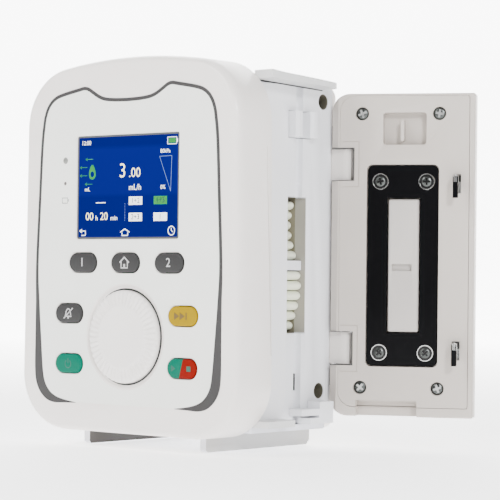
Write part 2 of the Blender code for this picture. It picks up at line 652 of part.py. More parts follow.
def door_panel(door):
    front, back = DOOR_X[0] - 1, DOOR_PANEL_BACK
    outline = rounded(*DOOR_CAVITY, DOOR_CAVITY_CORNERS, 4, GAP)
    panel = piece("door_inner_panel", prism("X", outline, DOOR_X[0], back), "door_grey", door,
                  origin=(*PIVOT, 0.0))
    add(panel, *[box((back - 0.5, *low), (depth, *high)) for low, high, depth in DOOR_BOSSES])
    slots = [box((front, HOOK_Y - 1.8, z + 2.5), (back + 1, HOOK_Y + 1.8, z + HOOK_HEIGHT + 0.5))
             for z in HOOK_Z]
    bores = [rod("Z", PIVOT, PIN_RADIUS + GAP, low - 5.5, high + 5.5, 16) for low, high in LUG_Z]
    pocket_low, pocket_high, pocket_depth = CLIP_POCKET
    cut(panel,
        box((front, *grown(PLATE[0], -GAP)), (PLATE_X[1] + GAP, *grown(PLATE[1], GAP))),
        box((front, *grown(PLATEN[0], -0.4)), (back + 1, *grown(PLATEN[1], 0.4))),
        box((front, *pocket_low), (pocket_depth, *pocket_high)),
        guide_recess(),
        *slots, *lug_notches(), *bores)
    fin_low, fin_high, fin_depth = CLIP_FIN
    add(panel, box((DOOR_X[0] + 0.2, *fin_low), (fin_depth, *fin_high)))


def grown(corner, amount):
    """Corner of a rectangle moved outwards by the same amount both ways."""
    return tuple(value + amount for value in corner)


def door_fittings(door):
    plate = piece("backing_plate", prism("X", rounded(*PLATE, 2.0, 3), *PLATE_X), "black_gloss", door,
                  origin=(*PIVOT, 0.0))
    cut(plate, box((PLATE_X[0] - 1, *grown(PLATEN[0], -0.4)), (PLATE_X[1] + 1, *grown(PLATEN[1], 0.4))))
    face, shoulder, back = PLATEN_X
    rings = [(rounded(*PLATEN, 0.0, 1, 1.0), face), (rounded(*PLATEN, 0.0, 1, 0.2), shoulder),
             (rounded(*PLATEN, 0.0, 1, 0.2), back)]
    platen = piece("pressure_platen", loft("X", rings), "mech_white", door,
                   origin=(52.0, 51.0, PLUNGER_Z))
    window_low, window_high = PLATEN_WINDOW
    cut(platen, box((face - 0.5, *window_low), (face + 0.85, *window_high)))
    half = 2.9
    piece("latch_bar", box((LATCH_BAR_X[0], HOOK_Y - half, LATCH_BAR_Z[0]),
                           (LATCH_BAR_X[1], HOOK_Y + half, LATCH_BAR_Z[1])), "steel", door,
          origin=(55.9, HOOK_Y, PLUNGER_Z))
    for label, z in zip(("upper", "lower"), HOOK_Z):
        top = z + HOOK_HEIGHT
        outline = [(43.6, z), (45.8, z + 0.8), (45.8, top - 2.6), (54.6, top - 2.6), (54.6, top), (44.6, top),
                   (43.6, top - 1.0)]
        piece(f"latch_hook_{label}",
              prism("Y", outline, HOOK_Y - HOOK_THICKNESS / 2, HOOK_Y + HOOK_THICKNESS / 2), "steel", door,
              origin=(55.9, HOOK_Y, z))
    lever = arc((HOOK_Y, LATCH_AXIS_Z), 6.0, 0.0, 180.0, 8)
    lever += arc((HOOK_Y, LATCH_AXIS_Z - 29.0), 4.5, 180.0, 360.0, 8)
    handle = piece("latch_handle", prism("X", lever, DOOR_X[1] + GAP, DOOR_X[1] + 3.8), "door_grey", door,
                   origin=(58.0, HOOK_Y, LATCH_AXIS_Z), smooth=True)
    add(handle, rod("X", (HOOK_Y, LATCH_AXIS_Z), 2.0, 57.2, 62.0, 16))


# ---------------------------------------------------------------- pole clamp on the back
def pole_clamp(root):
    low_z, high_z = CLAMP_Z - 16.0, CLAMP_Z + 16.0
    left, right = -30.0, 33.0
    inner_left, inner_right = left + 8.0, POLE_GAP[1]
    plate, back = BODY_BACK + GAP, 112.0
    notch = 7.0
    outline = [(left, plate), (right, plate), (right, back), (inner_right, back),
               (inner_right, CLAMP_SCREW_Y + notch), (inner_right + 5.0, CLAMP_SCREW_Y),
               (inner_right, CLAMP_SCREW_Y - notch), (inner_right, plate + 5.0), (inner_left, plate + 5.0),
               (inner_left, back - 4.0), (left, back - 4.0)]
    bracket = piece("clamp_bracket", prism("Z", outline, low_z, high_z), "mech_white", root)
    cut(bracket, rod("X", (CLAMP_SCREW_Y, CLAMP_Z), 4.3, left - 1, inner_left + 1, 20))
    jaw = rounded((CLAMP_SCREW_Y - 8.5, CLAMP_Z - 12.0), (CLAMP_SCREW_Y + 8.5, CLAMP_Z + 12.0), 2.0, 3)
    piece("clamp_jaw", prism("X", jaw, POLE_GAP[0] - 5.0, POLE_GAP[0]), "rubber", root,
          origin=(POLE_GAP[0], CLAMP_SCREW_Y, CLAMP_Z))
    profile = [(0.0, -59.5), (9.0, -59.5), (12.0, -57.5), (12.5, -47.0), (7.0, -45.0), (4.0, -44.0),
               (4.0, POLE_GAP[0] - 5.0 - GAP), (0.0, POLE_GAP[0] - 5.0 - GAP)]
    piece("clamp_screw", turned("X", (CLAMP_SCREW_Y, CLAMP_Z), profile, 24), "black_plastic", root,
          origin=(-52.0, CLAMP_SCREW_Y, CLAMP_Z), smooth=True)


def centre_on_floor(root):
    """Moves the assembly so that the frame's origin is at the bottom centre of its bounding box."""
    bpy.context.view_layer.update()
    depsgraph = bpy.context.evaluated_depsgraph_get()
    corners = []
    for obj in bpy.data.objects:
        if obj.type == "MESH" and not obj.hide_render:
            shape = obj.evaluated_get(depsgraph)
            corners += [shape.matrix_world @ vertex.co for vertex in shape.data.vertices]
    low = [min(c[i] for c in corners) for i in range(3)]
    high = [max(c[i] for c in corners) for i in range(3)]
    root.location = (-(low[0] + high[0]) / 2, -(low[1] + high[1]) / 2, -low[2])


def main():
    clear_scene()
    root = anchor("pump_root")
    front_bezel(root)
    display(root)
    keys(root)
    dial(root)
    mid_housing(root)
    mechanism_panel(root)
    side_ledges(root)
    tube_holders(root)
    rear_cover(root)
    foot_rails(root)
    electronics(root)
    drive(root)
    fingers(root)
    hinge(root)
    door = anchor("door_hinge", (*PIVOT, 0.0), DOOR_OPEN, root)
    door_shell(door)
    door_panel(door)
    door_fittings(door)
    pole_clamp(root)
    centre_on_floor(root)


main()
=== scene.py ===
import json
from math import atan2, cos, degrees, pi, radians, sin, sqrt

import bmesh
import bpy
from mathutils import Matrix, Vector


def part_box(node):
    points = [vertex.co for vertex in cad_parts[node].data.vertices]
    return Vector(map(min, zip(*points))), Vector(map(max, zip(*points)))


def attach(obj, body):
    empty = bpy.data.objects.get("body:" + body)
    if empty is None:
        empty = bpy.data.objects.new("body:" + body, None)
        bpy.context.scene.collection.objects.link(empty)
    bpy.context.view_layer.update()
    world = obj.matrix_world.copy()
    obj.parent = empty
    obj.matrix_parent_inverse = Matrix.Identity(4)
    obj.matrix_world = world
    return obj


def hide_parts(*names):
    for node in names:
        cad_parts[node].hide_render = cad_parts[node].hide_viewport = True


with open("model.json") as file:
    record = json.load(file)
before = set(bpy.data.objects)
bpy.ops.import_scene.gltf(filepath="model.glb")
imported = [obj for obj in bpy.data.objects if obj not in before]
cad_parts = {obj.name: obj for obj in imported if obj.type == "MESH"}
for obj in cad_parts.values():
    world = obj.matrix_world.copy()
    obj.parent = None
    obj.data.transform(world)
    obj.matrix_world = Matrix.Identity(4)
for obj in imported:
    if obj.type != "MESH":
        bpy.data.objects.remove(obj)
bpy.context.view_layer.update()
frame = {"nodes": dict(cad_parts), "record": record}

# ------------------------ layout
# Pieces are laid out in millimetres: X right from the casing's centreline, Y back from the front
# panel, Z up from the floor. The frame's own boxes and joints say where that layout sits.
MM = 0.001
BEZEL_LOW, BEZEL_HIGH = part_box("front_bezel")
ORIGIN = Vector(((BEZEL_LOW[0] + BEZEL_HIGH[0]) / 2, BEZEL_LOW[1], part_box("left_foot_rail")[0][2]))
HINGE = next(joint for joint in frame["record"]["behaviour"]["joints"] if joint["name"] == "door_hinge")
DOOR_OPEN, PIVOT = -HINGE["range_deg"][0], tuple((HINGE["pos_m"][i] - ORIGIN[i]) / MM for i in range(2))

# Casing: front shell, then the body behind it and its rear cover.
CASE_HALF_WIDTH, CASE_BOTTOM, CASE_TOP = 60.0, 6.0, 162.3
CROWN_RADIUS, TOP_CORNER, BOTTOM_CORNER, CASE_FLARE = 260.0, 25.0, 24.0, 0.032
BEZEL_DEPTH, EDGE_ACROSS, EDGE_ALONG, FACE, SHELL_WALL = 21.0, 2.6, 4.8, 3.0, 2.5
BODY_LOW, BODY_HIGH, BODY_CORNER = (-57.0, 8.0), (48.5, 153.8), 16.0
BODY_SPLIT, BODY_BACK, BACK_EDGE = 70.2, 80.0, 4.0
REAR_SCREWS = ((-47.0, 144.0), (38.0, 144.0), (-47.0, 66.0), (40.0, 18.0))
INLET_LOW, INLET_HIGH = (-44.3, 20.7), (-19.7, 39.3)
VENT_X, VENT_SIZE, VENT_ROWS = -23.0, (34.0, 2.0), range(117, 143, 5)
CLAMP_PAD = ((-52.0, 46.0), (-33.0, 60.0))

# Front panel, positions as (X, Z).
DISPLAY, DISPLAY_HALF = (0.0, 108.3), (28.9, 21.6)
GRAPHICS = (0.42, 0.47)
DIAL, DIAL_RADIUS, DIAL_WELL = (0.0, 46.3), 19.2, 22.0
KEY_SIZE, KEY_PROUD, KEY_EDGE = (15.4, 7.9), 0.9, 0.55
KEYS = {"key_f1": (-24.5, 76.8), "key_home": (0.0, 76.8), "key_f2": (24.5, 76.8),
        "key_mute": (-32.3, 55.4), "key_bolus": (32.3, 55.4),
        "key_power": (-32.1, 34.3), "key_start_stop": (32.1, 34.3)}
STATUS_LAMP, MAINS_LAMP, BATTERY_MARK = (-35.8, 119.9), (-35.8, 110.2), (-35.8, 103.0)

# Side panel under the door, positions as (Y, Z).
PANEL_X, PANEL_Z, LIP_Y = 50.0, (11.0, 151.0), 73.15
TUBE_Y, GROOVE_HALF, GROOVE_DEPTH, GROOVE_DEEP = 51.1, 2.4, 2.4, 3.2
GROOVE_STRETCHES = ((10.0, 42.2), (43.6, 110.0), (111.4, 152.0))
FINGER_SLOT = ((44.3, 48.3), (56.5, 105.0))
PANEL_SCREWS, PANEL_BORE = ((67.2, 145.6), (66.0, 24.0)), 3.3
CAP_TOP = [(21.5, 155.4), (30.0, 154.7), (43.0, 154.1), (56.0, 153.4), (66.4, 152.7)]
CAP_X, CAP_CORNER = (PANEL_X + 0.35, 59.95), 4.5

# Door, laid out closed, positions as (Y, Z).
DOOR_BODIES = ("door", "platen", "latch_bar")
DOOR_IN, DOOR_OUT, PANEL_BACK = 50.5, 60.5, 54.5
DOOR_LOW, DOOR_HIGH, DOOR_CORNERS = (21.42, 13.72), (82.0, 149.0), (0.9, 8.0, 8.0, 0.9)
CAVITY = ((23.65, 17.6), (78.2, 148.0), (1.0, 6.3, 6.3, 1.0))
INNER_FACE = ((23.85, 17.8), (78.1, 147.9), (1.0, 6.2, 6.2, 1.0))
BOTTOM_RECESS = ((DOOR_IN - 1, 44.9, 12.7), (57.4, 70.7, 20.4))
HINGE_CHAMFER = [(49.5, 78.0), (54.5, 83.0), (49.5, 83.0)]
HANDLE_AXIS = (28.75, 75.0)
POCKET, POCKET_FLOOR = ((41.8, 127.5), (60.0, 140.9)), 55.6
DOOR_SCREWS = tuple((PIVOT[1] - t, z) for t in (7.0, 39.5) for z in (140.5, 25.8))
PLATE_LOW, PLATE_HIGH, PLATE_CORNER = (36.7, 35.0), (66.3, 118.8), 2.2
PLATE_SCREWS = tuple((PIVOT[1] - t, z) for t in (14.9, 34.3) for z in (112.1, 40.5))
PLATEN_LOW, PLATEN_HIGH, PLATEN_GAP = (44.5, 49.1), (57.6, 104.8), 0.4
HOOK_Y, HOOK_Z, HOOK_HEIGHT, LATCH_TRAVEL = 28.75, (105.0, 35.6), 9.6, 4.2
LUG_Z, LUG_REACH, LUG_GAP = ((112.8, 125.8), (35.4, 48.7)), 3.9, 0.5

# Camera and light, in metres except where the layout is used.
CAMERA_PLACE, LENS = (600.6, -629.1, 71.6), 151.6
VIEW, VIEW_RIGHT = Vector((-0.6467, 0.7626, 0.0127)), Vector((0.7628, 0.6467, 0.0108))
LIT_POINT = (0.0, 0.0, 0.08)
LIGHTS = (("key_light", (-0.4, -1.1, 0.9), 0.7, 21.0, (1.0, 1.0, 1.0)),
          ("side_light", (1.1, -0.7, 0.6), 0.2, 18.0, (0.97, 0.98, 1.0)),
          ("top_light", (0.0, 0.2, 1.4), 1.2, 13.5, (1.0, 1.0, 1.0)))
SKY = 0.35
FLOOR_Z, SWEEP_START, SWEEP_RADIUS, SWEEP_HALF = -0.0005, 1.6, 0.9, 3.0


# ------------------------ materials
class Finish:
    """A material being built: its shader and the object-space point that its patterns follow."""

    def __init__(self, name):
        self.material = bpy.data.materials.new(name)
        self.material.use_nodes = True
        self.tree = self.material.node_tree
        self.shader = self.tree.nodes["Principled BSDF"]
        self.point = self.node("TexCoord").outputs["Object"]

    def feed(self, socket, value):
        """Sets a socket to a value, or links it to another socket."""
        if isinstance(value, bpy.types.NodeSocket):
            self.tree.links.new(value, socket)
        else:
            socket.default_value = value

    def fill(self, node, values):
        for name, value in values.items():
            self.feed(node.inputs[name.replace("_", " ")], value)

    def node(self, kind, **values):
        node = self.tree.nodes.new("ShaderNode" + kind)
        self.fill(node, values)
        return node

    def shade(self, **values):
        self.fill(self.shader, values)

    def noise(self, scale, detail=2.0, at=None):
        at = self.point if at is None else at
        return self.node("TexNoise", Vector=at, Scale=scale, Detail=detail).outputs["Fac"]

    def ranged(self, source, low, high, start=0.0, end=1.0):
        return self.node("MapRange", Value=source, From_Min=start, From_Max=end,
                         To_Min=low, To_Max=high).outputs["Result"]

    def mixed(self, factor, one, two):
        node = self.node("Mix")
        node.data_type = "RGBA"
        self.fill(node, {"Factor": factor, "A": one, "B": two})
        return node.outputs["Result"]

    def bump(self, height, strength, distance):
        self.shade(Normal=self.node("Bump", Height=height, Strength=strength,
                                    Distance=distance * MM).outputs["Normal"])

    def math(self, operation, *values, kind="Math"):
        node = self.node(kind)
        node.operation = operation
        for socket, value in zip(node.inputs, values):
            self.feed(socket, value)
        return node.outputs["Value"]


def finish(name, colour, roughness, metallic=0.0, grain=0.25, relief=0.02, tint=0.02, coat=0.0,
           gloss_spread=0.05, shine=0.5):
    """Procedural finish: moulding grain as bump, faint colour mottling and uneven gloss."""
    made = Finish(name)

    def patches(scale, detail, low, high):
        return made.ranged(made.noise(scale, detail), low, high, 0.3, 0.7)

    one, two = ((*[min(c * k, 1.0) for c in colour], 1.0) for k in (1 - tint, 1 + tint))
    gloss = patches(160.0, 4.0, max(roughness - gloss_spread, 0.02), roughness + gloss_spread)
    made.shade(Metallic=metallic, Coat_Weight=coat, Specular_IOR_Level=shine, Roughness=gloss,
               Base_Color=made.mixed(patches(45.0, 3.0, 0.0, 1.0), one, two))
    if relief:
        made.bump(made.noise(1000.0 / grain), 0.5, relief)
    return made


def surface(*arguments, **options):
    return finish(*arguments, **options).material


def brushed(name, colour, roughness):
    """Metal with fine drawn lines along one direction."""
    made = finish(name, colour, roughness, metallic=1.0, relief=0.0, tint=0.04)
    stretched = made.node("Mapping", Vector=made.point, Scale=(1.0, 1.0, 30.0))
    made.bump(made.noise(260.0, 4.0, stretched.outputs["Vector"]), 0.25, 0.02)
    return made.material


def screen_blue():
    """Lit display: deep blue bands, brighter across the upper half, behind faintly uneven glass."""
    deep, bright = (0.005, 0.009, 0.25), (0.007, 0.014, 0.31)
    stops = ((0.0, deep), (0.40, deep), (0.44, bright), (0.86, (0.007, 0.015, 0.32)), (0.90, deep),
             (1.0, (0.005, 0.008, 0.24)))
    made = Finish("screen_blue")
    low, high = ((DISPLAY[1] + side * DISPLAY_HALF[1]) * MM for side in (-1, 1))
    height = made.node("SeparateXYZ", Vector=made.point).outputs["Z"]
    ramp = made.node("ValToRGB", Fac=made.ranged(height, 0.0, 1.0, low, high))
    elements = ramp.color_ramp.elements
    elements[0].color, elements[1].color = ((*stops[i][1], 1.0) for i in (0, -1))
    for position, colour in stops[1:-1]:
        elements.new(position).color = (*colour, 1.0)
    made.shade(Emission_Color=ramp.outputs["Color"], Emission_Strength=0.9, Specular_IOR_Level=0.02,
               Base_Color=(0.001, 0.002, 0.012, 1.0), Roughness=made.ranged(made.noise(500.0), 0.12, 0.22))
    return made.material


def lit(name, colour, strength):
    made = finish(name, colour, 0.3, relief=0.0, tint=0.03)
    made.shade(Emission_Color=(*colour, 1.0), Emission_Strength=strength)
    return made.material


def split_key():
    """Start and stop key: green on the left, red on the right of a slanted line."""
    lean, red = 0.27, (0.165, 0.005, 0.0018, 1.0)
    made = finish("key_split", GREEN, 0.45, relief=0.008, shine=0.05)
    parts = made.node("SeparateXYZ", Vector=made.point).outputs
    x, z = KEYS["key_start_stop"]
    across = made.math("MULTIPLY_ADD", parts["Z"], -lean, parts["X"])
    right = made.math("GREATER_THAN", across, ORIGIN.x + x * MM - lean * (ORIGIN.z + z * MM))
    green = made.shader.inputs["Base Color"].links[0].from_socket
    made.shade(Base_Color=made.mixed(right, green, red))
    return made.material


def batch(maker, *rows, **options):
    """Materials that share options; each row is a name, a colour and a roughness or a strength."""
    return [maker(*row, **options) for row in rows]


GREEN = (0.0006, 0.105, 0.066)
SHELL = surface("shell_white", (0.80, 0.755, 0.72), 0.33, relief=0.012, coat=0.08)
FILM = surface("film_white", (0.79, 0.80, 0.755), 0.42, grain=0.18, relief=0.006)
SIDE, DOOR, CHEEK, CAP, LUG, MECH = batch(
    surface, ("side_white", (0.73, 0.735, 0.785), 0.42), ("door_grey", (0.455, 0.412, 0.372), 0.42),
    ("cheek_white", (0.75, 0.75, 0.77), 0.4), ("cap_white", (0.62, 0.62, 0.615), 0.42),
    ("lug_white", (0.66, 0.62, 0.585), 0.42), ("mech_white", (0.73, 0.735, 0.76), 0.45), relief=0.014)
WELL, GASKET, GUIDE, BLACK, BATTERY, RAIL_LIT, RAIL_SHADED = batch(
    # The well colour is painted shade for the dark inside of the panel's screw wells.
    surface, ("well_olive", (0.085, 0.078, 0.055), 0.55), ("gasket_grey", (0.045, 0.05, 0.06), 0.6),
    # The guide colour is olive-grey darkened with painted shade for the inside of the finger slot.
    ("guide_olive", (0.20, 0.18, 0.125), 0.55), ("black_plastic", (0.012, 0.012, 0.013), 0.5),
    # RAIL_LIT and RAIL_SHADED are painted light and painted shade: lit and shaded copies of a grey for the
    # rails' side faces.
    ("battery_wrap", (0.02, 0.06, 0.2), 0.3), ("rail_grey", (0.47, 0.465, 0.455), 0.5),
    ("rail_taupe", (0.040, 0.035, 0.030), 0.5))
# Painted shade on the finger slot's rear wall.
SLOT_SHADE = surface("liner_grey", (0.29, 0.275, 0.235), 0.5, relief=0.015)
# Painted shade for the dark gaps by the hinge and round the lug notches.
GAP_SHADE = surface("seal_grey", (0.07, 0.068, 0.065), 0.7, relief=0.03)
FINGER = surface("finger_ivory", (0.76, 0.78, 0.62), 0.4, relief=0.01, tint=0.04)
PLATEN = surface("platen_grey", (0.44, 0.41, 0.385), 0.45, relief=0.012)
DIAL_WHITE = surface("dial_white", (0.80, 0.765, 0.735), 0.36, relief=0.006)
BORDER_GREY = surface("border_grey", (0.038, 0.036, 0.036), 0.5, grain=0.2, relief=0.01, shine=0.2)
KEY_GREY = surface("key_grey", (0.026, 0.0255, 0.0255), 0.42, relief=0.008, shine=0.2)
KEY_YELLOW = surface("key_yellow", (0.275, 0.178, 0.0002), 0.45, relief=0.008, shine=0.04)
KEY_GREEN = surface("key_green", GREEN, 0.45, relief=0.008, shine=0.05)
KEY_SPLIT = split_key()
LAMP_GREY, LAMP_BROWN, MARK_GREY, ICON_WHITE, ICON_DARK, ICON_OLIVE, FIGURE_DARK = batch(
    surface, ("lamp_grey", (0.17, 0.175, 0.16), 0.25), ("lamp_brown", (0.10, 0.085, 0.08), 0.3),
    ("mark_grey", (0.13, 0.125, 0.12), 0.5), ("icon_white", (0.45, 0.45, 0.45), 0.5),
    ("icon_dark", (0.003, 0.07, 0.045), 0.5), ("icon_olive", (0.09, 0.05, 0.002), 0.5),
    ("figure_dark", (0.004, 0.01, 0.04), 0.4), relief=0.0)
BLACK_GLOSS = surface("black_gloss", (0.004, 0.004, 0.0045), 0.08, relief=0.002, grain=1.5,
                      gloss_spread=0.02, shine=0.03)
# Black rubber for the belt and clamp jaw; also painted shadow for the dark strips round the dial and under
# the cap.
RUBBER_AND_SHADOW = surface("rubber_black", (0.018, 0.018, 0.018), 0.75, grain=0.5, relief=0.04)
BOARD = surface("board_green", (0.008, 0.08, 0.03), 0.4, grain=1.2, relief=0.03, tint=0.15)
CHROME, WASHER = batch(
    surface, ("chrome", (0.62, 0.62, 0.61), 0.12), ("washer_steel", (0.03, 0.03, 0.03), 0.25),
    metallic=1.0, relief=0.0, gloss_spread=0.04)
ZINC, RECESS, STEEL, ALUMINIUM = batch(
    brushed, ("zinc_screw", (0.075, 0.08, 0.077), 0.3), ("recess_bright", (0.5, 0.5, 0.49), 0.35),
    ("drawn_steel", (0.45, 0.45, 0.44), 0.3), ("aluminium", (0.62, 0.62, 0.63), 0.38))
SCREEN = screen_blue()
LIT_WHITE, LIT_CREAM, LIT_PALE, LIT_GREEN = batch(
    lit, ("lit_white", (0.80, 0.82, 0.85), 0.5), ("lit_cream", (0.85, 0.80, 0.55), 0.5),
    ("lit_pale", (0.10, 0.16, 0.36), 0.4), ("lit_green", (0.006, 0.16, 0.022), 0.4))


# ------------------------ outlines
def arc(centre, radius, start, end, steps):
    """Points on an arc, angles in degrees, both ends included."""
    angles = [radians(start + (end - start) * i / steps) for i in range(steps + 1)]
    return [(centre[0] + radius * cos(a), centre[1] + radius * sin(a)) for a in angles]


def circle(centre, radius, steps):
    return arc(centre, radius, 0.0, 360.0, steps)[:-1]


def rounded(low, high, corners, steps=10, inset=0.0):
    """Rectangle with its own corner radii: low-low, high-low, high-high, low-high."""
    (a0, b0), (a1, b1) = low, high
    points = []
    for index, (a, b, da, db) in enumerate(((a0, b0, 1, 1), (a1, b0, -1, 1), (a1, b1, -1, -1),
                                            (a0, b1, 1, -1))):
        radius = corners[index] if isinstance(corners, (tuple, list)) else corners
        shown = max(radius - inset, 0.01)
        reach = shown + inset
        start = 180.0 + 90.0 * index
        points += arc((a + da * reach, b + db * reach), shown, start, start + 90.0, steps)
    return points


def pill(centre, size, grow=0.0, steps=14):
    half, radius = size[0] / 2, size[1] / 2
    left = arc((centre[0] - half + radius, centre[1]), radius + grow, 90.0, 270.0, steps)
    right = arc((centre[0] + half - radius, centre[1]), radius + grow, -90.0, 90.0, steps)
    return left + right


def case_outline(inset=0.0):
    """Front casing: round lower corners, round upper corners and a gently crowned top."""
    steps = 18
    low_x, high_x = CASE_HALF_WIDTH - BOTTOM_CORNER, CASE_HALF_WIDTH - TOP_CORNER
    crown_centre, reach = CASE_TOP - CROWN_RADIUS, CROWN_RADIUS - TOP_CORNER
    high_z = crown_centre + sqrt(reach * reach - high_x * high_x)
    lean = 90.0 - degrees(atan2(high_x, high_z - crown_centre))
    low_z = CASE_BOTTOM + BOTTOM_CORNER
    points = arc((low_x, low_z), BOTTOM_CORNER - inset, -90.0, 0.0, steps)
    points += arc((high_x, high_z), TOP_CORNER - inset, 0.0, lean, steps)
    points += arc((0.0, crown_centre), CROWN_RADIUS - inset, lean, 180.0 - lean, steps)[1:-1]
    points += arc((-high_x, high_z), TOP_CORNER - inset, 180.0 - lean, 180.0, steps)
    points += arc((-low_x, low_z), BOTTOM_CORNER - inset, 180.0, 270.0, steps)
    flare = CASE_FLARE / (CASE_TOP - CASE_BOTTOM)
    return [(x * (1.0 + flare * (CASE_TOP - z)), z) for x, z in points]


def flowing(points, per):
    """Smooth curve through control points of any dimension (Catmull-Rom)."""
    padded = [points[0]] + list(points) + [points[-1]]
    result = []
    for a, b, c, d in zip(padded, padded[1:], padded[2:], padded[3:]):
        for i in range(per):
            t = i / per
            result.append(tuple(0.5 * (2 * q + (r - p) * t + (2 * p - 5 * q + 4 * r - s) * t * t
                                       + (3 * q - p - 3 * r + s) * t ** 3)
                                for p, q, r, s in zip(a, b, c, d)))
    return result + [tuple(points[-1])]


# ------------------------ solids, bmesh in layout millimetres
def lift(point, axis, along):
    a, b = point
    return {"X": (along, a, b), "Y": (a, along, b), "Z": (a, b, along)}[axis]


def skinned(bm, loops):
    """Closes vertex loops of equal length into a solid with flat ends."""
    count = len(loops[0])
    for lower, upper in zip(loops, loops[1:]):
        for i in range(count):
            j = (i + 1) % count
            bm.faces.new((lower[i], lower[j], upper[j], upper[i]))
    bm.faces.new(loops[0])
    bm.faces.new(loops[-1])
    return bm


def loft(axis, rings):
    """Closed solid through outlines of equal length, given as (outline, distance along axis)."""
    bm = bmesh.new()
    return skinned(bm, [[bm.verts.new(lift(p, axis, along)) for p in outline] for outline, along in rings])


def prism(axis, outline, low, high):
    return loft(axis, [(outline, low), (outline, high)])


def flared(axis, outline_at, mouth, depth, lip):
    """Cutter whose mouth widens by lip; outline_at(grow) gives the outline."""
    turn = 1 if depth > mouth else -1
    return loft(axis, [(outline_at(lip + 0.6), mouth - turn * 0.6), (outline_at(lip), mouth),
                       (outline_at(0.35 * lip), mouth + turn * 0.35 * lip),
                       (outline_at(0.0), mouth + turn * lip), (outline_at(0.0), depth)])


def spreading(outline, middle_a, middle_b):
    """Outline that grows away from a middle point, for flared()."""
    return lambda g: [(a + (g if a > middle_a else -g), b + (g if b > middle_b else -g)) for a, b in outline]


def box(low, high):
    return prism("Z", [(low[0], low[1]), (high[0], low[1]), (high[0], high[1]), (low[0], high[1])],
                 low[2], high[2])


def rod(axis, centre, radius, low, high, steps=40):
    return prism(axis, circle(centre, radius, steps), low, high)


def turned(axis, centre, profile, steps):
    """Solid of revolution; the profile is (radius, along), from the axis back to the axis."""
    bm = bmesh.new()
    first = bm.verts.new(lift(centre, axis, profile[0][1]))
    last = bm.verts.new(lift(centre, axis, profile[-1][1]))
    loops = [[bm.verts.new(lift(p, axis, along)) for p in circle(centre, radius, steps)]
             for radius, along in profile[1:-1]]
    for i in range(steps):
        j = (i + 1) % steps
        bm.faces.new((first, loops[0][j], loops[0][i]))
        bm.faces.new((last, loops[-1][i], loops[-1][j]))
        for lower, upper in zip(loops, loops[1:]):
            bm.faces.new((lower[i], lower[j], upper[j], upper[i]))
    return bm


def ribbon(path, low, high):
    """Thin inlay along a path of (x, z, half width), lying between two depths Y."""
    bm = bmesh.new()
    rows = []
    for i, (x, z, half) in enumerate(path):
        before, after = path[max(i - 1, 0)], path[min(i + 1, len(path) - 1)]
        along = Vector((after[0] - before[0], after[1] - before[1])).normalized()
        side = Vector((along.y, -along.x)) * half
        edges = ((x + side.x, z + side.y), (x - side.x, z - side.y))
        rows.append([bm.verts.new((a, y, b)) for y in (low, high) for a, b in edges])
    for one, two in zip(rows, rows[1:]):
        for i, j in ((0, 1), (1, 3), (3, 2), (2, 0)):
            bm.faces.new((one[i], one[j], two[j], two[i]))
    for row in (rows[0], rows[-1]):
        bm.faces.new((row[0], row[1], row[3], row[2]))
    return bm


def merged(*shapes):
    """Several bmeshes as one."""
    whole = bmesh.new()
    for shape in shapes:
        mesh = bpy.data.meshes.new("part")
        shape.to_mesh(mesh)
        whole.from_mesh(mesh)
        bpy.data.meshes.remove(mesh)
        shape.free()
    return whole


# ------------------------ placing pieces
def door_turn(bm):
    """Turns a shape laid out on the closed door to the open rest position."""
    bmesh.ops.rotate(bm, verts=bm.verts, cent=(*PIVOT, 0.0),
                     matrix=Matrix.Rotation(radians(DOOR_OPEN), 3, "Z"))


def placed(name, data):
    obj = bpy.data.objects.new(name, data)
    bpy.context.scene.collection.objects.link(obj)
    return obj


def raw_object(name, bm):
    bmesh.ops.recalc_face_normals(bm, faces=bm.faces)
    mesh = bpy.data.meshes.new(name)
    bm.to_mesh(mesh)
    bm.free()
    return placed(name, mesh)


def carved(bm, cuts, joins=()):
    """Boolean result of a shape with its joins added and its cuts taken away, as a bmesh."""
    target = raw_object("carved", bm)
    guides = []
    for operation, shapes in (("UNION", joins), ("DIFFERENCE", cuts)):
        for shape in shapes:
            guide = raw_object("guide", shape)
            guides.append(guide)
            modifier = target.modifiers.new("boolean", "BOOLEAN")
            modifier.operation = operation
            modifier.solver = "EXACT"
            modifier.object = guide
    depsgraph = bpy.context.evaluated_depsgraph_get()
    result = bmesh.new()
    result.from_mesh(target.evaluated_get(depsgraph).to_mesh())
    for obj in guides + [target]:
        bpy.data.objects.remove(obj, do_unlink=True)
    return result


def piece(name, bm, material, replaces=(), body="housing", bevel=0.0, sharp=32.0):
    """A finished piece: laid out in millimetres, moved into the frame and riding on its body."""
    if body in DOOR_BODIES:
        door_turn(bm)
    bmesh.ops.remove_doubles(bm, verts=bm.verts, dist=0.0005)
    bmesh.ops.scale(bm, verts=bm.verts, vec=(MM, MM, MM))
    bmesh.ops.translate(bm, verts=bm.verts, vec=ORIGIN)
    obj = raw_object(name, bm)
    obj.data.materials.append(material)
    obj.data.shade_smooth()
    obj.data.set_sharp_from_angle(angle=radians(sharp))
    if bevel:
        round_edges(obj, bevel)
    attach(obj, body)
    if replaces:
        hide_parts(*replaces)
    return obj


def round_edges(obj, width, segments=3):
    modifier = obj.modifiers.new("edges", "BEVEL")
    modifier.width = width * MM
    modifier.segments = segments
    modifier.limit_method = "ANGLE"
    modifier.angle_limit = radians(40)
    modifier.harden_normals = True


def node_finish(name, material, bevel):
    """A CAD node that stays: its finish, and rounded edges."""
    obj = frame["nodes"][name]
    obj.data.materials.clear()
    obj.data.materials.append(material)
    obj.data.shade_smooth()
    obj.data.set_sharp_from_angle(angle=radians(35))
    round_edges(obj, bevel, 2)
    return obj


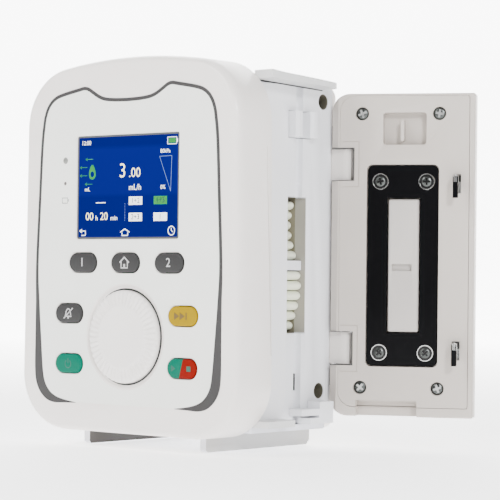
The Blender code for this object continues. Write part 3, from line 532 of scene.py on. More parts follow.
def lettering(text, size, x, z, depth, y):
    """Raised figures on a front-facing surface, as a bmesh in the layout."""
    curve = bpy.data.curves.new("figures", "FONT")
    curve.body = text
    curve.size = size
    curve.align_x = curve.align_y = "CENTER"
    curve.extrude = depth / 2
    obj = placed("figures", curve)
    depsgraph = bpy.context.evaluated_depsgraph_get()
    bm = bmesh.new()
    bm.from_mesh(obj.evaluated_get(depsgraph).to_mesh())
    bpy.data.objects.remove(obj, do_unlink=True)
    for vertex in bm.verts:
        a, b, c = vertex.co
        vertex.co = (x + a, y - c, z + b)
    return bm


# ------------------------ front: bezel, film, border
# Border line round the controls, right half from the top dip down, as (x, z, half width):
# a notch at the top, a straight flank, then a crescent that tapers along the lower edge.
BORDER = [(0.0, 144.2, 0.75), (7.0, 144.4, 0.75), (12.5, 144.95, 0.75), (16.3, 146.1, 0.75),
          (20.0, 148.1, 0.75), (22.6, 149.5, 0.75), (24.9, 149.95, 0.75), (28.0, 149.5, 0.75),
          (38.5, 147.6, 0.75), (43.0, 145.9, 0.75), (46.0, 143.1, 0.75), (47.8, 139.5, 0.75),
          (48.7, 135.5, 0.75), (49.8, 126.0, 0.75), (50.9, 103.5, 0.75), (52.1, 76.0, 0.8),
          (51.6, 60.0, 1.1), (51.0, 45.0, 1.75), (50.3, 31.0, 2.4), (48.8, 25.0, 2.45),
          (45.3, 20.9, 2.1), (41.0, 19.0, 1.5), (35.8, 18.35, 0.75), (28.0, 17.95, 0.06)]


def display_outline(grow):
    (x, z), (half_w, half_h) = DISPLAY, DISPLAY_HALF
    return rounded((x - half_w - grow, z - half_h - grow), (x + half_w + grow, z + half_h + grow),
                   0.9 + grow, 5)


def front_casing():
    """Deep front shell: round edge, display and key openings, and the dial's stepped well."""
    steps = 10
    rings = []
    for i in range(steps + 1):
        angle = radians(90.0 * i / steps)
        rings.append((case_outline(EDGE_ACROSS * (1 - sin(angle))), EDGE_ALONG * (1 - cos(angle))))
    rings += [(case_outline(), BEZEL_DEPTH - 0.5), (case_outline(0.15), BEZEL_DEPTH - 0.15),
              (case_outline(0.5), BEZEL_DEPTH)]
    well = [(0.0, -1.0), (22.6, -1.0), (21.9, -0.05), (21.3, 0.25), (20.8, 0.75), (19.9, 0.85),
            (19.55, 1.2), (19.55, 4.0), (0.0, 4.0)]
    cuts = [prism("Y", case_outline(SHELL_WALL), FACE, BEZEL_DEPTH - SHELL_WALL),
            prism("Y", rounded((-54.0, 13.0), (46.5, 150.0), 16.0), BEZEL_DEPTH - 3.0, BEZEL_DEPTH + 1),
            flared("Y", display_outline, 0.0, 4.0, 0.45),
            turned("Y", DIAL, well, 96)]
    cuts += [flared("Y", lambda g, c=centre: pill(c, KEY_SIZE, 0.3 + g), 0.0, 4.0, 0.3)
             for centre in KEYS.values()]
    seam = [(20.2, 40.0), (20.55, 40.0), (17.95, 124.0), (17.6, 124.0)]
    cuts.append(prism("X", seam, 60.0, 63.0))
    piece("bezel_skin", carved(loft("Y", rings), cuts), SHELL, ["front_bezel"])


def control_film():
    """Film over the controls, its grey border line, and the three marks left of the display."""
    right = [(x, z) for x, z, _ in flowing(BORDER, 6)]
    outline = right + [(-x, z) for x, z in reversed(right[1:])]
    cuts = [prism("Y", display_outline(0.45), -1, 2), prism("Y", circle(DIAL, DIAL_WELL, 96), -1, 2)]
    cuts += [prism("Y", pill(centre, KEY_SIZE, 0.62), -1, 2) for centre in KEYS.values()]
    cuts += [rod("Y", STATUS_LAMP, 1.55, -1, 2, 32), rod("Y", MAINS_LAMP, 0.9, -1, 2, 24)]
    film = carved(prism("Y", outline, -0.1, 0.25), cuts)
    piece("control_film", film, FILM)
    path = flowing(BORDER, 8)
    border = ribbon([(-x, z, h) for x, z, h in reversed(path[1:])] + path, -0.15, 0.2)
    piece("control_border", border, BORDER_GREY)
    large = [(0, -0.22), (0.8, -0.19), (1.3, -0.08), (1.5, 0.1), (1.5, 0.4), (0, 0.4)]
    small = [(0, -0.16), (0.6, -0.12), (0.85, 0.1), (0, 0.1)]
    piece("status_lamp", turned("Y", STATUS_LAMP, large, 32), LAMP_GREY)
    piece("mains_lamp", turned("Y", MAINS_LAMP, small, 24), LAMP_BROWN)
    (x, z), half, rise, pen = BATTERY_MARK, 1.6, 1.1, 0.16
    corners = [(x - half, z - rise), (x + half, z - rise), (x + half, z + rise), (x - half, z + rise)]
    battery = merged(ribbon([(*corner, pen) for corner in corners + corners[:1]], -0.14, 0.1),
                     box((x + 1.75, -0.14, z - 0.5), (x + 2.1, 0.1, z + 0.5)))
    piece("battery_mark", battery, MARK_GREY)


# ------------------------ display
def on_screen(u, v):
    """Layout position of a point on the display, as fractions across and down."""
    (x, z), (half_w, half_h) = DISPLAY, DISPLAY_HALF
    return x - half_w + 2 * half_w * u, z + half_h - 2 * half_h * v


def screen_line(points, width, closed=False):
    """Straight strokes through points given as fractions of the display."""
    corners = [on_screen(*p) for p in points]
    if closed:
        corners.append(corners[0])
    half = width / 2
    return merged(*[ribbon([(*a, half), (*b, half)], *GRAPHICS) for a, b in zip(corners, corners[1:])])


def screen_box(u0, v0, u1, v1):
    (x0, z1), (x1, z0) = on_screen(u0, v0), on_screen(u1, v1)
    return box((x0, GRAPHICS[0], z0), (x1, GRAPHICS[1], z1))


def screen_text(text, size, u, v):
    return lettering(text, size, *on_screen(u, v), 0.05, 0.44)


def screen_arrow(u, v, reach):
    head = screen_line([(u + 0.018, v - 0.013), (u, v), (u + 0.018, v + 0.013)], 0.24)
    return merged(head, screen_line([(u, v), (u + reach, v)], 0.24))


def display():
    """Display pane with its gasket, and the shown figures and symbols as thin inlays."""
    pane = loft("Y", [(display_outline(-0.35), 0.5), (display_outline(-0.3), 0.55),
                      (display_outline(-0.3), 1.7)])
    piece("screen_pane", pane, SCREEN, ["display_window"])
    edge = carved(prism("Y", display_outline(-0.02), 0.35, 0.75),
                  [prism("Y", display_outline(-0.75), 0.0, 1.0)])
    piece("screen_gasket", edge, GASKET)
    words = (("12:00", 2.5, 0.085, 0.07), ("mL/h", 3.5, 0.575, 0.51), ("0%", 2.4, 0.845, 0.515),
             ("80kPa", 2.3, 0.865, 0.175), ("h", 3.0, 0.197, 0.80), ("min", 2.8, 0.37, 0.80),
             ("mL", 2.4, 0.10, 0.52))
    lines = (([(0.19, 0.65), (0.285, 0.65)], 0.35), ([(0.435, 0.937), (0.48, 0.905), (0.525, 0.937)], 0.4),
             ([(0.452, 0.94), (0.452, 0.968), (0.508, 0.968), (0.508, 0.94)], 0.4),
             ([(0.045, 0.965), (0.085, 0.965), (0.085, 0.922), (0.03, 0.922)], 0.36),
             ([(0.048, 0.905), (0.027, 0.922), (0.048, 0.939)], 0.36),
             ([(0.886, 0.045), (0.972, 0.045), (0.972, 0.11), (0.886, 0.11)], 0.25, True))
    white = [screen_text(*word) for word in words] + [screen_line(*line) for line in lines]
    white.append(screen_box(0.974, 0.062, 0.982, 0.093))
    x, z = on_screen(0.93, 0.925)
    white += [ribbon([(*point, 0.17) for point in arc((x, z), 1.8, 0.0, 360.0, 24)], *GRAPHICS),
              ribbon([(x, z, 0.15), (x, z + 1.1, 0.15)], *GRAPHICS),
              ribbon([(x, z, 0.15), (x + 0.8, z - 0.5, 0.15)], *GRAPHICS)]
    boxes, green_box = ((0.517, 0.597), (0.517, 0.753), (0.758, 0.753)), (0.758, 0.597)
    white += [screen_box(u, v, u + 0.129, v + 0.079) for u, v in boxes]
    piece("screen_white", merged(*white), LIT_WHITE)
    pale = [screen_line([(0.81, 0.223), (0.927, 0.22), (0.919, 0.555)], 0.2, True)]
    pale += [screen_box(0.476, 0.66 + 0.0145 * k, 0.48, 0.667 + 0.0145 * k) for k in range(12)]
    piece("screen_fine_lines", merged(*pale), LIT_PALE)
    figures = [screen_text(*figure) for figure in (("3", 8.4, 0.451, 0.352), (".00", 5.5, 0.571, 0.372),
                                                   ("00", 4.6, 0.125, 0.785), ("20", 4.6, 0.27, 0.785))]
    piece("screen_big_figures", merged(*figures), LIT_CREAM)
    x, z = on_screen(0.148, 0.345)
    drop = [(x + 1.9 * sin(a) * (1 - 0.32 * cos(a)), z - 0.3 + 3.1 * cos(a))
            for a in [2 * pi * k / 36 for k in range(36)]]
    hole = [(x + 1.05 * sin(a), z - 1.2 + 1.2 * cos(a)) for a in [2 * pi * k / 24 for k in range(24)]]
    symbol = carved(prism("Y", drop, *GRAPHICS), [prism("Y", hole, 0.3, 0.6)])
    arrows = ((0.08, 0.227), (0.023, 0.305), (0.023, 0.385), (0.076, 0.468))
    green = [symbol, screen_box(0.897, 0.056, 0.962, 0.099), screen_box(*green_box, 0.886, 0.675)]
    green += [screen_arrow(u, v, 0.074) for u, v in arrows]
    piece("screen_green", merged(*green), LIT_GREEN)
    labels = zip(("1+2", "2+3", "1", "1+3"), (*boxes, green_box))
    digits = [lettering(text, 3.1, *on_screen(u + 0.064, v + 0.04), 0.04, 0.39) for text, (u, v) in labels]
    piece("screen_dark_figures", merged(*digits), FIGURE_DARK)


# ------------------------ keys and dial
def key_icons(name, x, z):
    """The printed mark of a key, as a bmesh: plain figures and symbols."""
    inside, outside = -KEY_PROUD - 0.03, -KEY_PROUD + 0.05

    def strokes(width, *lines):
        half = width / 2
        return merged(*[ribbon([(x + a, z + b, half) for a, b in line], inside, outside) for line in lines])

    def block(low, high):
        return box((x + low[0], inside, z + low[1]), (x + high[0], outside, z + high[1]))

    def arrow(left, length, half):
        corners = [(x + left, z - half), (x + left + length, z), (x + left, z + half)]
        return prism("Y", corners, inside, outside)

    if name in ("key_f1", "key_f2"):
        return lettering(name[-1], 5.2, x, z, 0.06, -KEY_PROUD)
    if name == "key_home":
        roof = [(-2.6, 0.1), (0, 2.3), (2.6, 0.1)]
        walls = [(-1.8, 0.5), (-1.8, -2.1), (1.8, -2.1), (1.8, 0.5)]
        return merged(strokes(0.6, roof, walls), block((-0.5, -2.1), (0.5, -0.5)))
    if name == "key_mute":
        bell = [(-1.9, -1.3), (-1.4, -0.6), (-1.3, 0.6), (-0.6, 1.7), (0, 1.9), (0.6, 1.7), (1.3, 0.6),
                (1.4, -0.6), (1.9, -1.3), (-1.9, -1.3)]
        clapper = prism("Y", circle((x, z - 1.9), 0.45, 16), inside, outside)
        return merged(strokes(0.5, bell, [(-2.6, -2.2), (2.6, 2.2)]), clapper)
    if name == "key_bolus":
        return merged(arrow(-4.2, 2.8, 1.6), arrow(-1.2, 2.8, 1.6), block((2.0, -1.5), (2.7, 1.5)))
    if name == "key_power":
        return strokes(0.5, arc((0.0, -0.2), 1.7, 125.0, 415.0, 24), [(0, 0.1), (0, 2.2)])
    return merged(arrow(-5.3, 2.3, 1.3), block((3.0, -1.1), (5.2, 1.1)))


def keys():
    finishes = {"key_bolus": (KEY_YELLOW, ICON_OLIVE, "key_yellow"),
                "key_power": (KEY_GREEN, ICON_DARK, "key_green"),
                "key_start_stop": (KEY_SPLIT, ICON_DARK, "key_red")}
    for name, centre in KEYS.items():
        material, icon, slot = finishes.get(name, (KEY_GREY, ICON_WHITE, "key_grey"))
        rings = [(pill(centre, KEY_SIZE, -KEY_EDGE * (1 - sin(radians(a)))),
                  -KEY_PROUD + KEY_EDGE * (1 - cos(radians(a)))) for a in (0, 18, 36, 54, 72, 90)]
        piece(f"{name}_cap", loft("Y", rings + [(pill(centre, KEY_SIZE), 4.5)]), material, [name], name)
        piece(f"{name}_mark", key_icons(name, *centre), icon, body=name)


def dial():
    """Nearly flush dial: a smooth dished centre and a rim of 48 shallow flutes."""
    flutes, around, dish, fall = 48, 384, 13.0, 17.6
    radii = [0.0001, 2.5, 5.0, 7.5, 10.0, 11.5, 12.4, 12.9, 13.3, 13.8, 14.4, 15.2, 16.0, 16.8, 17.5, 18.1,
             18.5, 18.8, 19.02, 19.15, DIAL_RADIUS]

    def face_height(radius, angle):
        height = -2.5
        if radius < dish:
            height += 0.17 * (1 - (radius / dish) ** 2)
        if radius > dish:
            height += 0.1 + 0.03 * (radius - dish)
        if radius > fall:
            height += 1.6 * (1 - sqrt(max(1 - ((radius - fall) / 1.6) ** 2, 0.0)))
        ramp = min(max(radius - 13.2, 0.0), 1.0) * min(max(19.7 - radius, 0.0), 1.0)
        return height + 0.55 * ramp * (0.5 + 0.5 * cos(flutes * angle)) ** 1.5

    bm = bmesh.new()
    loops = []
    (x, z), angles = DIAL, [2 * pi * i / around for i in range(around)]
    for radius in radii:
        loops.append([bm.verts.new((x + radius * cos(a), face_height(radius, a), z + radius * sin(a)))
                      for a in angles])
    for depth in (1.0, 3.6):
        loops.append([bm.verts.new(lift(point, "Y", depth)) for point in circle(DIAL, DIAL_RADIUS, around)])
    knob = merged(skinned(bm, loops), rod("Y", DIAL, 3.0, 3.4, 8.4, 32))
    piece("dial_face", knob, DIAL_WHITE, ["dial_knob"], "dial", sharp=50.0)
    # Dark ring in the gap round the dial: painted shadow between the dial's edge and the bezel.
    gap = carved(rod("Y", DIAL, 20.0, 0.45, 1.15, 96), [rod("Y", DIAL, 19.45, 0.0, 2.0, 96)])
    piece("dial_seal", gap, RUBBER_AND_SHADOW)


# ------------------------ casing behind the bezel
def body_outline(inset=0.0):
    return rounded(BODY_LOW, BODY_HIGH, (BODY_CORNER, 4.0, 6.0, BODY_CORNER), 12, inset)


def rear_casing():
    """Body behind the front shell, open towards the side panel, and the rear cover with its vents."""
    end = PANEL_X - 0.3
    low, high = BODY_LOW[1], BODY_HIGH[1]
    lower, upper = ((BODY_LOW[0] + BODY_CORNER, z) for z in (low + BODY_CORNER, high - BODY_CORNER))

    def c_outline(inset):
        def turns(radius):
            return (arc(lower, radius, 270.0, 180.0, 14) + arc(upper, radius, 180.0, 90.0, 14))

        wall = SHELL_WALL - inset
        inner = turns(BODY_CORNER - wall)[::-1]
        return ([(end, low + inset)] + turns(BODY_CORNER - inset) + [(end, high - inset), (end, high - wall)]
                + inner + [(end, low + wall)])

    start, stop = BEZEL_DEPTH + 0.3, BODY_SPLIT
    rings = [(c_outline(0.5), start), (c_outline(0.5), start + 0.7), (c_outline(0.0), start + 1.0),
             (c_outline(0.0), stop - 0.6), (c_outline(0.35), stop)]
    piece("housing_skin", loft("Y", rings), SIDE, ["mid_housing"])

    rings = [(body_outline(0.35), stop + 0.3), (body_outline(), stop + 0.8)]
    for i in range(9):
        angle = radians(90.0 * i / 8)
        rings.append((body_outline(BACK_EDGE * (1 - cos(angle))), BODY_BACK - BACK_EDGE * (1 - sin(angle))))
    cuts = [prism("Y", body_outline(SHELL_WALL), stop - 1, BODY_BACK - SHELL_WALL),
            box((INLET_LOW[0], BODY_BACK - 5, INLET_LOW[1]), (INLET_HIGH[0], BODY_BACK + 1, INLET_HIGH[1]))]
    cuts += [flared("Y", lambda g, c=(VENT_X, z): pill(c, VENT_SIZE, g, 6), BODY_BACK, 76.0, 0.3)
             for z in VENT_ROWS]
    seat = [(0, 76.6), (3.2, 76.6), (3.2, 79.6), (3.7, 80.1), (3.7, 81), (0, 81)]
    cuts += [turned("Y", centre, seat, 32) for centre in REAR_SCREWS]
    cuts.append(prism("Y", rounded(*CLAMP_PAD, 1.2, 6), 79.7, 82.0))
    piece("rear_skin", carved(loft("Y", rings), cuts), SHELL, ["rear_cover"])
    for index, (x, z) in enumerate(REAR_SCREWS):
        screw(f"rear_screw_{index + 1}", (x, 78.0, z), "Y", 2.6, 1.2)


def screw(name, head_face, axis, radius, height, body="housing", turn=0.5):
    """Pan head with a cross recess; head_face is the centre of its top, and axis is where it faces."""
    profile = [(0.0, 0.0), (radius * 0.5, 0.03 * height), (radius * 0.8, 0.18 * height),
               (radius * 0.96, 0.45 * height), (radius, 0.75 * height), (radius, height), (0.0, height)]
    head = turned("Z", (0.0, 0.0), [(r, -h) for r, h in profile], 32)
    reach, width = radius * 0.62, radius * 0.17
    arms = []
    for quarter in (0.0, pi / 2):
        blade = prism("Z", rounded((-reach, -width), (reach, width), 0.05, 2), -height * 0.7, 1.0)
        bmesh.ops.rotate(blade, verts=blade.verts, matrix=Matrix.Rotation(quarter + turn, 3, "Z"))
        arms.append(blade)
    head = carved(head, arms)
    for face in head.faces:
        middle = face.calc_center_median()
        inside = max(abs(middle.x), abs(middle.y)) < radius * 0.64 and middle.z < -radius * 0.1
        face.material_index = int(inside and middle.z > -height + 0.05)
    to_face = {"Y": Matrix.Rotation(-pi / 2, 3, "X"), "X": Matrix.Rotation(pi / 2, 3, "Y"),
               "-X": Matrix.Rotation(-pi / 2, 3, "Y")}[axis]
    bmesh.ops.rotate(head, verts=head.verts, matrix=to_face)
    bmesh.ops.translate(head, verts=head.verts, vec=head_face)
    piece(name, head, ZINC, body=body).data.materials.append(RECESS)


# ------------------------ mechanism bay
def groove_profile(depth):
    """Section of the tube groove, a flattened arc open to the side."""
    front, rear = TUBE_Y - GROOVE_HALF, TUBE_Y + GROOVE_HALF
    curve = [(PANEL_X - depth * sin(radians(a)) ** 0.45, TUBE_Y - GROOVE_HALF * cos(radians(a)))
             for a in range(15, 166, 15)]
    return [(PANEL_X + 1, front), (PANEL_X, front)] + curve + [(PANEL_X, rear), (PANEL_X + 1, rear)]


def hook_opening(z, grow, corner):
    """Opening that takes a latch hook, with room for its travel."""
    return rounded((HOOK_Y - 3.1 - grow, z - 7.0 - grow),
                   (HOOK_Y + 2.1 + grow, z + HOOK_HEIGHT + 2.0 + grow), corner, 5)


def mechanism_bay():
    """Side panel with its groove and openings, what shows in them, and painted shade in its screw wells,
    finger slot and gaps.
    """
    low, high = (44.0, BEZEL_DEPTH + 0.3, PANEL_Z[0]), (PANEL_X, BODY_SPLIT, PANEL_Z[1])
    lip = box((48.8, BODY_SPLIT - 1.0, PANEL_Z[0]), (PANEL_X, LIP_Y, PANEL_Z[1]))
    slot = rounded(*FINGER_SLOT, 0.5, 4)
    cuts = [prism("Z", groove_profile(GROOVE_DEPTH), 10.0, 152.0)]
    cuts += [prism("Z", groove_profile(GROOVE_DEEP), *stretch) for stretch in GROOVE_STRETCHES]
    cuts += [flared("X", spreading(slot, 50, 76), PANEL_X, 43.0, 0.4),
             box((PANEL_X - 3.5, 43.9, 129.3), (PANEL_X + 1, 58.6, 140.6)),
             box((45.0, 49.2, 24.4), (PANEL_X + 1, 53.0, 31.6))]
    cuts += [flared("X", lambda g, c=centre: circle(c, PANEL_BORE + g, 40), PANEL_X, 43.0, 0.3)
             for centre in PANEL_SCREWS]
    cuts += [prism("X", hook_opening(z, 0.0, 0.8), 43.0, 51.0) for z in HOOK_Z]
    cuts += [box((43.0, PIVOT[1] - 3.3, z0 - 0.3), (51.0, PIVOT[1], z1 + 0.3)) for z0, z1 in LUG_Z]
    piece("panel_skin", carved(box(low, high), cuts, [lip]), MECH,
          ["mechanism_panel"], sharp=30.0)
    # Dark sleeves in the panel's screw holes: painted shade inside the wells.
    cup = [(0, 42.9), (3.28, 42.9), (3.28, 49.5), (3.0, 49.5), (2.95, 43.9), (0, 43.9)]
    for index, (y, z) in enumerate(PANEL_SCREWS):
        piece(f"panel_screw_well_shade_{index + 1}", turned("X", (y, z), cup, 32), WELL)
        screw(f"panel_screw_{index + 1}", (45.6, y, z), "X", 2.6, 1.8)
    # Thin dark sheet on the finger slot's rear wall: painted shade.
    piece("finger_slot_painted_shade", box((43.9, 56.3, 48.7), (49.5, 56.48, 104.6)), SLOT_SHADE)
    # Dark strip along the cap's lower edge: painted shadow beneath the ledge.
    seal = prism("X", [(22.0, 151.45), (66.0, 150.1), (66.0, 150.5), (22.0, 151.9)], 49.75, 50.25)
    piece("cap_seal", seal, RUBBER_AND_SHADOW)
    # Dark strips along the rear cover's side edge: painted shade in the gap beside the open door.
    strips = [box((48.52, 73.6, z0), (48.76, 79.4, z1))
              for z0, z1 in ((26.0, 35.0), (49.1, 112.4), (126.2, 136.0))]
    piece("hinge_gap_painted_shade", merged(*strips), GAP_SHADE)
    window = prism("Z", [(47.6, 49.35), (47.6, 52.85), (45.6, 52.85), (45.6, 49.35)], 24.55, 31.45)
    piece("sensor_window", window, BLACK_GLOSS, bevel=0.25)
    # Grooved rear wall behind the fingers: olive-grey darkened with painted shade.
    wall = carved(box((36.0, 56.75, 47.0), (43.7, 57.6, 106.3)),
                  [box((35.0, 56.5, z - 0.12), (44.0, 57.1, z + 0.12)) for z in (60.0, 76.6, 93.2)])
    piece("finger_guide_rear", wall, GUIDE)
    cheek_plate()
    fingers()
    top_cap()


def top_cap():
    """Ledge over the door opening: falls away to the rear, nicked underneath where the tube enters."""
    (inner, outer), rear = CAP_X, CAP_TOP[-1][0]
    cap = prism("X", [(CAP_TOP[0][0], 151.95), *flowing(CAP_TOP, 6), (rear, 150.55)], inner, outer)
    x, y = outer - CAP_CORNER - 0.05, rear - CAP_CORNER
    corner = arc((x, y), CAP_CORNER, 0.0, 90.0, 12) + [(x, 68.0), (61.0, 68.0), (61.0, y)]
    nick = box((PANEL_X, TUBE_Y + 0.1, 149.0), (54.0, TUBE_Y + 0.9, 152.6))
    cuts = [nick, prism("Z", corner, 149.0, 158.0)]
    piece("top_cap_skin", carved(cap, cuts), CAP, ["top_cap"], bevel=0.7)


def fingers():
    """Twelve pump fingers, each with a rounded nose towards the tube."""
    nose = 3.0
    for index in range(12):
        name = f"finger_{index + 1:02d}"
        low, high = ((Vector(corner) - ORIGIN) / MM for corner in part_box(name))
        middle, half, tip = (low.z + high.z) / 2, (high.z - low.z) / 2, high.x
        outline = [(low.x, middle + half), (low.x, middle - half)]
        outline += [(tip - nose + nose * sin(radians(a)), middle - half * cos(radians(a)))
                    for a in range(0, 181, 12)]
        finger = prism("Y", outline, low.y, high.y)
        piece(f"{name}_skin", finger, FINGER, [name], name, bevel=0.2)


def cheek_plate():
    """Slightly raised plate over the panel's front half, its rear edge swept forward at both ends."""
    rear = flowing([(31.0, 150.7), (37.4, 146.5), (42.2, 138.0), (43.4, 126.0), (43.5, 100.0), (43.5, 60.0),
                    (43.5, 30.0), (42.6, 19.5), (38.2, 12.8), (34.5, 11.3)], 6)
    outline = [(BEZEL_DEPTH + 0.5, 11.3)] + list(reversed(rear)) + [(BEZEL_DEPTH + 0.5, 150.7)]
    rings = [(outline, PANEL_X - 0.05), (outline, PANEL_X + 0.1), (shrunk(outline, 0.15), PANEL_X + 0.22)]
    cuts = [prism("X", hook_opening(z, 0.4, 1.1), 49.0, 51.0) for z in HOOK_Z]
    piece("cheek_plate", carved(loft("X", rings), cuts), CHEEK)


def shrunk(outline, amount):
    """Outline drawn in towards its middle by a small amount."""
    middle = [sum(p[i] for p in outline) / len(outline) for i in (0, 1)]
    half = [max(abs(p[i] - middle[i]) for p in outline) for i in (0, 1)]
    return [tuple(middle[i] + (p[i] - middle[i]) * (1 - amount / half[i]) for i in (0, 1)) for p in outline]


# ------------------------ door
def door_outline(inset):
    return rounded(DOOR_LOW, DOOR_HIGH, DOOR_CORNERS, 14, inset)


def lug_notches():
    """Cutters for the two notches that clear the hinge lugs."""
    return [box((47.0, PIVOT[1] - LUG_REACH, low - LUG_GAP), (63.0, 85.0, high + LUG_GAP))
            for low, high in LUG_Z]


def door_shell():
    """Outer half of the door, hollow, with the seat of the latch handle on its face."""
    mouth, crown = 0.8, 1.4
    rings = [(door_outline(mouth * (1 - sin(radians(a)))), DOOR_IN + mouth * (1 - cos(radians(a))))
             for a in (0, 22, 45, 67, 90)]
    rings += [(door_outline(crown * (1 - cos(radians(a)))), DOOR_OUT - crown * (1 - sin(radians(a))))
              for a in (0, 20, 40, 60, 75, 90)]
    seat = [(0, 59.9), (8.2, 59.9), (8.8, 60.4), (8.8, 61), (0, 61)]
    cuts = [prism("X", rounded(*CAVITY, 12), DOOR_IN - 1, DOOR_OUT - 2), box(*BOTTOM_RECESS),
            rod("X", HANDLE_AXIS, 2.3, 57.0, 62.0), turned("X", HANDLE_AXIS, seat, 48),
            prism("Z", HINGE_CHAMFER, 12.0, 150.0), *lug_notches()]
    piece("door_shell_skin", carved(loft("X", rings), cuts), DOOR,
          ["door_outer_shell"], "door", bevel=0.12)


def door_seams():
    """Fine seam line round each lug notch."""
    width, floor, margin = 0.35, DOOR_IN + 0.3, 3.2
    y_in, y_out = PIVOT[1] - 5.6, PIVOT[1] + 1.6
    seams = []
    for low, high in LUG_Z:
        seams.append(box((DOOR_IN - 1, y_in - width, low - margin), (floor, y_in, high + margin)))
        for z in (low - margin, high + margin - width):
            seams.append(box((DOOR_IN - 1, y_in - width / 2, z), (floor, y_out, z + width)))
    return seams


def door_panel():
    """Inner face of the door: pocket with its fin, plate seat, hook slots and four corner screws."""
    joins = [box((PANEL_BACK - 0.5, 72.8, 27.0), (58.2, 77.7, 138.0)),
             box((PANEL_BACK - 0.5, 40.0, 125.0), (57.2, 62.0, 142.5)),
             box((PANEL_BACK - 0.5, 43.0, 17.9), (58.2, 72.0, 23.0))]
    pocket = rounded(*POCKET, 1.2, 6)
    seat = rounded([v - PLATEN_GAP for v in PLATE_LOW], [v + PLATEN_GAP for v in PLATE_HIGH], 2.4, 6)
    cuts = [prism("X", seat, DOOR_IN - 1, 53.3), platen_opening(DOOR_IN - 1, PANEL_BACK + 1),
            flared("X", spreading(pocket, 51, 134), DOOR_IN, POCKET_FLOOR, 0.25),
            prism("Z", HINGE_CHAMFER, 12.0, 150.0), box(*BOTTOM_RECESS)]
    front, rear, back = HOOK_Y - 1.6, HOOK_Y + 1.6, PANEL_BACK + 1
    tops = [z + HOOK_HEIGHT for z in HOOK_Z]
    cuts += [box((DOOR_IN - 1, front, top - 3.2 - LATCH_TRAVEL), (back, rear, top + 0.5)) for top in tops]
    cuts += [box((53.0, front, z + 2.5), (back, rear, z + HOOK_HEIGHT)) for z in HOOK_Z]
    cuts += lug_notches()
    cuts += [rod("Z", PIVOT, 1.5, low - 5.5, high + 5.5, 24) for low, high in LUG_Z]
    bore = [(0, 49), (3.0, 49), (3.0, 50.6), (2.75, 50.9), (2.75, 52.4), (0, 52.4)]
    cuts += [turned("X", centre, bore, 32) for centre in DOOR_SCREWS] + door_seams()
    panel = carved(prism("X", rounded(*INNER_FACE, 12), DOOR_IN, PANEL_BACK), cuts, joins)
    fin = prism("X", rounded((51.2, 129.0), (52.6, 137.7), 0.6, 5), DOOR_IN + 0.3, 56.2)
    piece("door_panel_skin", carved(panel, (), [fin]), DOOR, ["door_inner_panel"], "door",
          bevel=0.1)
    for index, (y, z) in enumerate(DOOR_SCREWS):
        screw(f"door_screw_{index + 1}", (51.0, y, z), "-X", 2.75, 1.4, "door", 0.4 + 0.5 * index)


def notch_painted_shades():
    """Painted shade: dark strips lining the two notches in the door that clear the hinge lugs, where the gaps
    fall in shade.
    """
    wall = PIVOT[1] - 3.4
    for label, (low, high) in zip(("upper", "lower"), LUG_Z):
        parts = [box((50.9, wall - 0.48, low - 0.46), (60.1, wall, high + 0.46))]
        for z in (low - 0.48, high + 0.22):
            parts.append(carved(box((50.9, wall, z), (60.1, 81.6, z + 0.26)),
                                [rod("Z", PIVOT, 1.45, z - 1, z + 1, 24)]))
        piece(f"notch_painted_shade_{label}", merged(*parts), GAP_SHADE, body="door")


def platen_opening(low, high):
    return box((low, 44.1, 48.7), (high, 58.0, 105.2))


def door_fittings():
    """Backing plate with its washers and screws, the platen, and the hooks with their bright tips."""
    outline, drawn_in = (rounded(PLATE_LOW, PLATE_HIGH, PLATE_CORNER, 8, inset) for inset in (0.0, 0.25))
    plate = loft("X", [(drawn_in, 51.3), (outline, 51.55), (outline, 53.0)])
    piece("backing_plate_skin", carved(plate, [platen_opening(50.0, 54.0)]), BLACK_GLOSS,
          ["backing_plate"], "door")
    profile = [(0, 51.35), (3.5, 51.35), (3.5, 50.95), (3.36, 50.78), (3.1, 50.78), (2.95, 50.95), (0, 50.95)]
    for index, (y, z) in enumerate(PLATE_SCREWS):
        washer = turned("X", (y, z), profile, 48)
        for face in washer.faces:
            middle = face.calc_center_median()
            face.material_index = int(sqrt((middle.y - y) ** 2 + (middle.z - z) ** 2) > 3.0)
        ring = piece(f"plate_washer_{index + 1}", washer, WASHER, body="door")
        ring.data.materials.append(CHROME)
        screw(f"plate_screw_{index + 1}", (50.62, y, z), "-X", 2.45, 1.2, "door", 0.2 + 0.7 * index)
    rings = [(rounded(PLATEN_LOW, PLATEN_HIGH, 1.0, 5, inset), x) for inset, x in
             ((1.1, 50.35), (0.75, 50.42), (0.3, 50.9), (0.2, 51.4), (0.2, 53.9))]
    window = flared("X", lambda g: rounded((47.5 - g, 74.7 - g), (55.8 + g, 77.6 + g), 0.3, 3),
                    50.35, 52.4, 0.12)
    platen = carved(loft("X", rings), [window])
    piece("platen_skin", platen, PLATEN, ["pressure_platen"], "platen")
    for label, z in zip(("upper", "lower"), HOOK_Z):
        top = z + HOOK_HEIGHT
        node_finish(f"latch_hook_{label}", BLACK_GLOSS, 0.35)
        cap = [(0, top + 0.1), (0.8, top + 0.05), (1.25, top - 0.35), (1.3, top - 3.0), (0, top - 3.0)]
        tip = turned("Z", (44.7, HOOK_Y), cap, 24)
        piece(f"hook_tip_{label}", tip, CHROME, body="latch_bar")


# ------------------------ stage
def camera():
    """About 40 degrees round to the right of the front, near the dial's height, with a long lens."""
    forward = VIEW.normalized()
    right = (VIEW_RIGHT - forward * VIEW_RIGHT.dot(forward)).normalized()
    data = bpy.data.cameras.new("camera")
    data.lens = LENS
    data.sensor_width = 36.0
    obj = placed("camera", data)
    matrix = Matrix((right, right.cross(forward), -forward)).transposed().to_4x4()
    matrix.translation = ORIGIN + Vector(CAMERA_PLACE) * MM
    obj.matrix_world = matrix
    bpy.context.scene.camera = obj


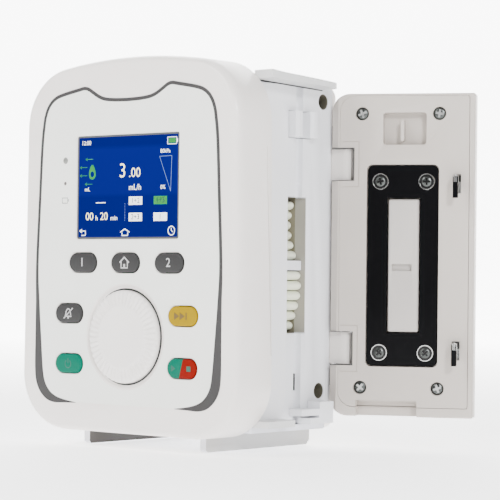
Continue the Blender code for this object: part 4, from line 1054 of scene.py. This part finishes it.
def lights():
    """Soft square lights round the camera's side, and an even sky."""
    for name, place, size, power, colour in LIGHTS:
        data = bpy.data.lights.new(name, "AREA")
        data.shape = "RECTANGLE"
        data.size = data.size_y = size
        data.energy = power
        data.color = colour
        obj = placed(name, data)
        obj.location = place
        obj.rotation_euler = (Vector(LIT_POINT) - Vector(place)).to_track_quat("-Z", "Y").to_euler()
    world = bpy.data.worlds.new("studio")
    world.use_nodes = True
    background = world.node_tree.nodes["Background"]
    background.inputs["Color"].default_value = (1.0, 1.0, 1.0, 1.0)
    background.inputs["Strength"].default_value = SKY
    bpy.context.scene.world = world


def sweep():
    """White floor that curves up into a backdrop, glowing more the farther it is behind the pump."""
    back = VIEW.xy
    side = Vector((back.y, -back.x))
    profile = [(-3.0, FLOOR_Z), (SWEEP_START, FLOOR_Z)]
    profile += [(SWEEP_START + SWEEP_RADIUS * sin(radians(a)), FLOOR_Z + SWEEP_RADIUS * (1 - cos(radians(a))))
                for a in range(6, 91, 6)]
    profile.append((SWEEP_START + SWEEP_RADIUS, 3.0))
    bm = bmesh.new()
    rows = [[bm.verts.new((*(back * along + side * across), height)) for across in (-SWEEP_HALF, SWEEP_HALF)]
            for along, height in profile]
    for one, two in zip(rows, rows[1:]):
        bm.faces.new((one[0], one[1], two[1], two[0]))
    obj = raw_object("studio_sweep", bm)
    obj.data.shade_smooth()
    paper = finish("sweep_white", (0.86, 0.86, 0.86), 0.7, relief=0.0, tint=0.005)
    behind = paper.math("DOT_PRODUCT", paper.point, (*back, 0.0), kind="VectorMath")
    glow = paper.ranged(behind, 1.7, 7.0, 0.3, 1.5)
    paper.shade(Emission_Color=(1.0, 1.0, 1.0, 1.0), Emission_Strength=glow)
    obj.data.materials.append(paper.material)


# CAD nodes that show as they are: finish, edge radius and names.
KEPT = ((CAP, 0.7, "bottom_ledge"), (MECH, 0.45, "upper_tube_clip"), (MECH, 0.4, "lower_tube_guide"),
        (MECH, 0.15, "pressure_plunger"), (LUG, 0.25, "hinge_lug_upper", "hinge_lug_lower"),
        (STEEL, 0.1, "hinge_pin_upper", "hinge_pin_lower", "camshaft", "drive_motor", "latch_bar"),
        (ALUMINIUM, 0.15, "mechanism_chassis", "cam_pulley", "motor_pulley", "rotary_encoder"),
        (BLACK, 0.2, "display_module", "power_inlet", "air_sensor", "clamp_screw"),
        (BOARD, 0.1, "main_board"), (BATTERY, 0.3, "battery_pack"), (RUBBER_AND_SHADOW, 0.1, "drive_belt"),
        (RUBBER_AND_SHADOW, 0.8, "clamp_jaw"), (SHELL, 0.9, "clamp_bracket"), (SHELL, 0.8, "latch_handle"))


def kept_nodes():
    for material, edge, *names in KEPT:
        for name in names:
            node_finish(name, material, edge)
    # Side faces of the rails: painted shade on the left rail, painted light on the right rail.
    for name, sides in (("left_foot_rail", RAIL_SHADED), ("right_foot_rail", RAIL_LIT)):
        rail = node_finish(name, SIDE, 0.5)
        rail.data.materials.append(sides)
        for face in rail.data.polygons:
            face.material_index = int(abs(face.normal.x) > 0.9)


for build in (front_casing, control_film, display, keys, dial, rear_casing, mechanism_bay, door_shell,
              door_panel, notch_painted_shades, door_fittings, kept_nodes, camera, lights, sweep):
    build()
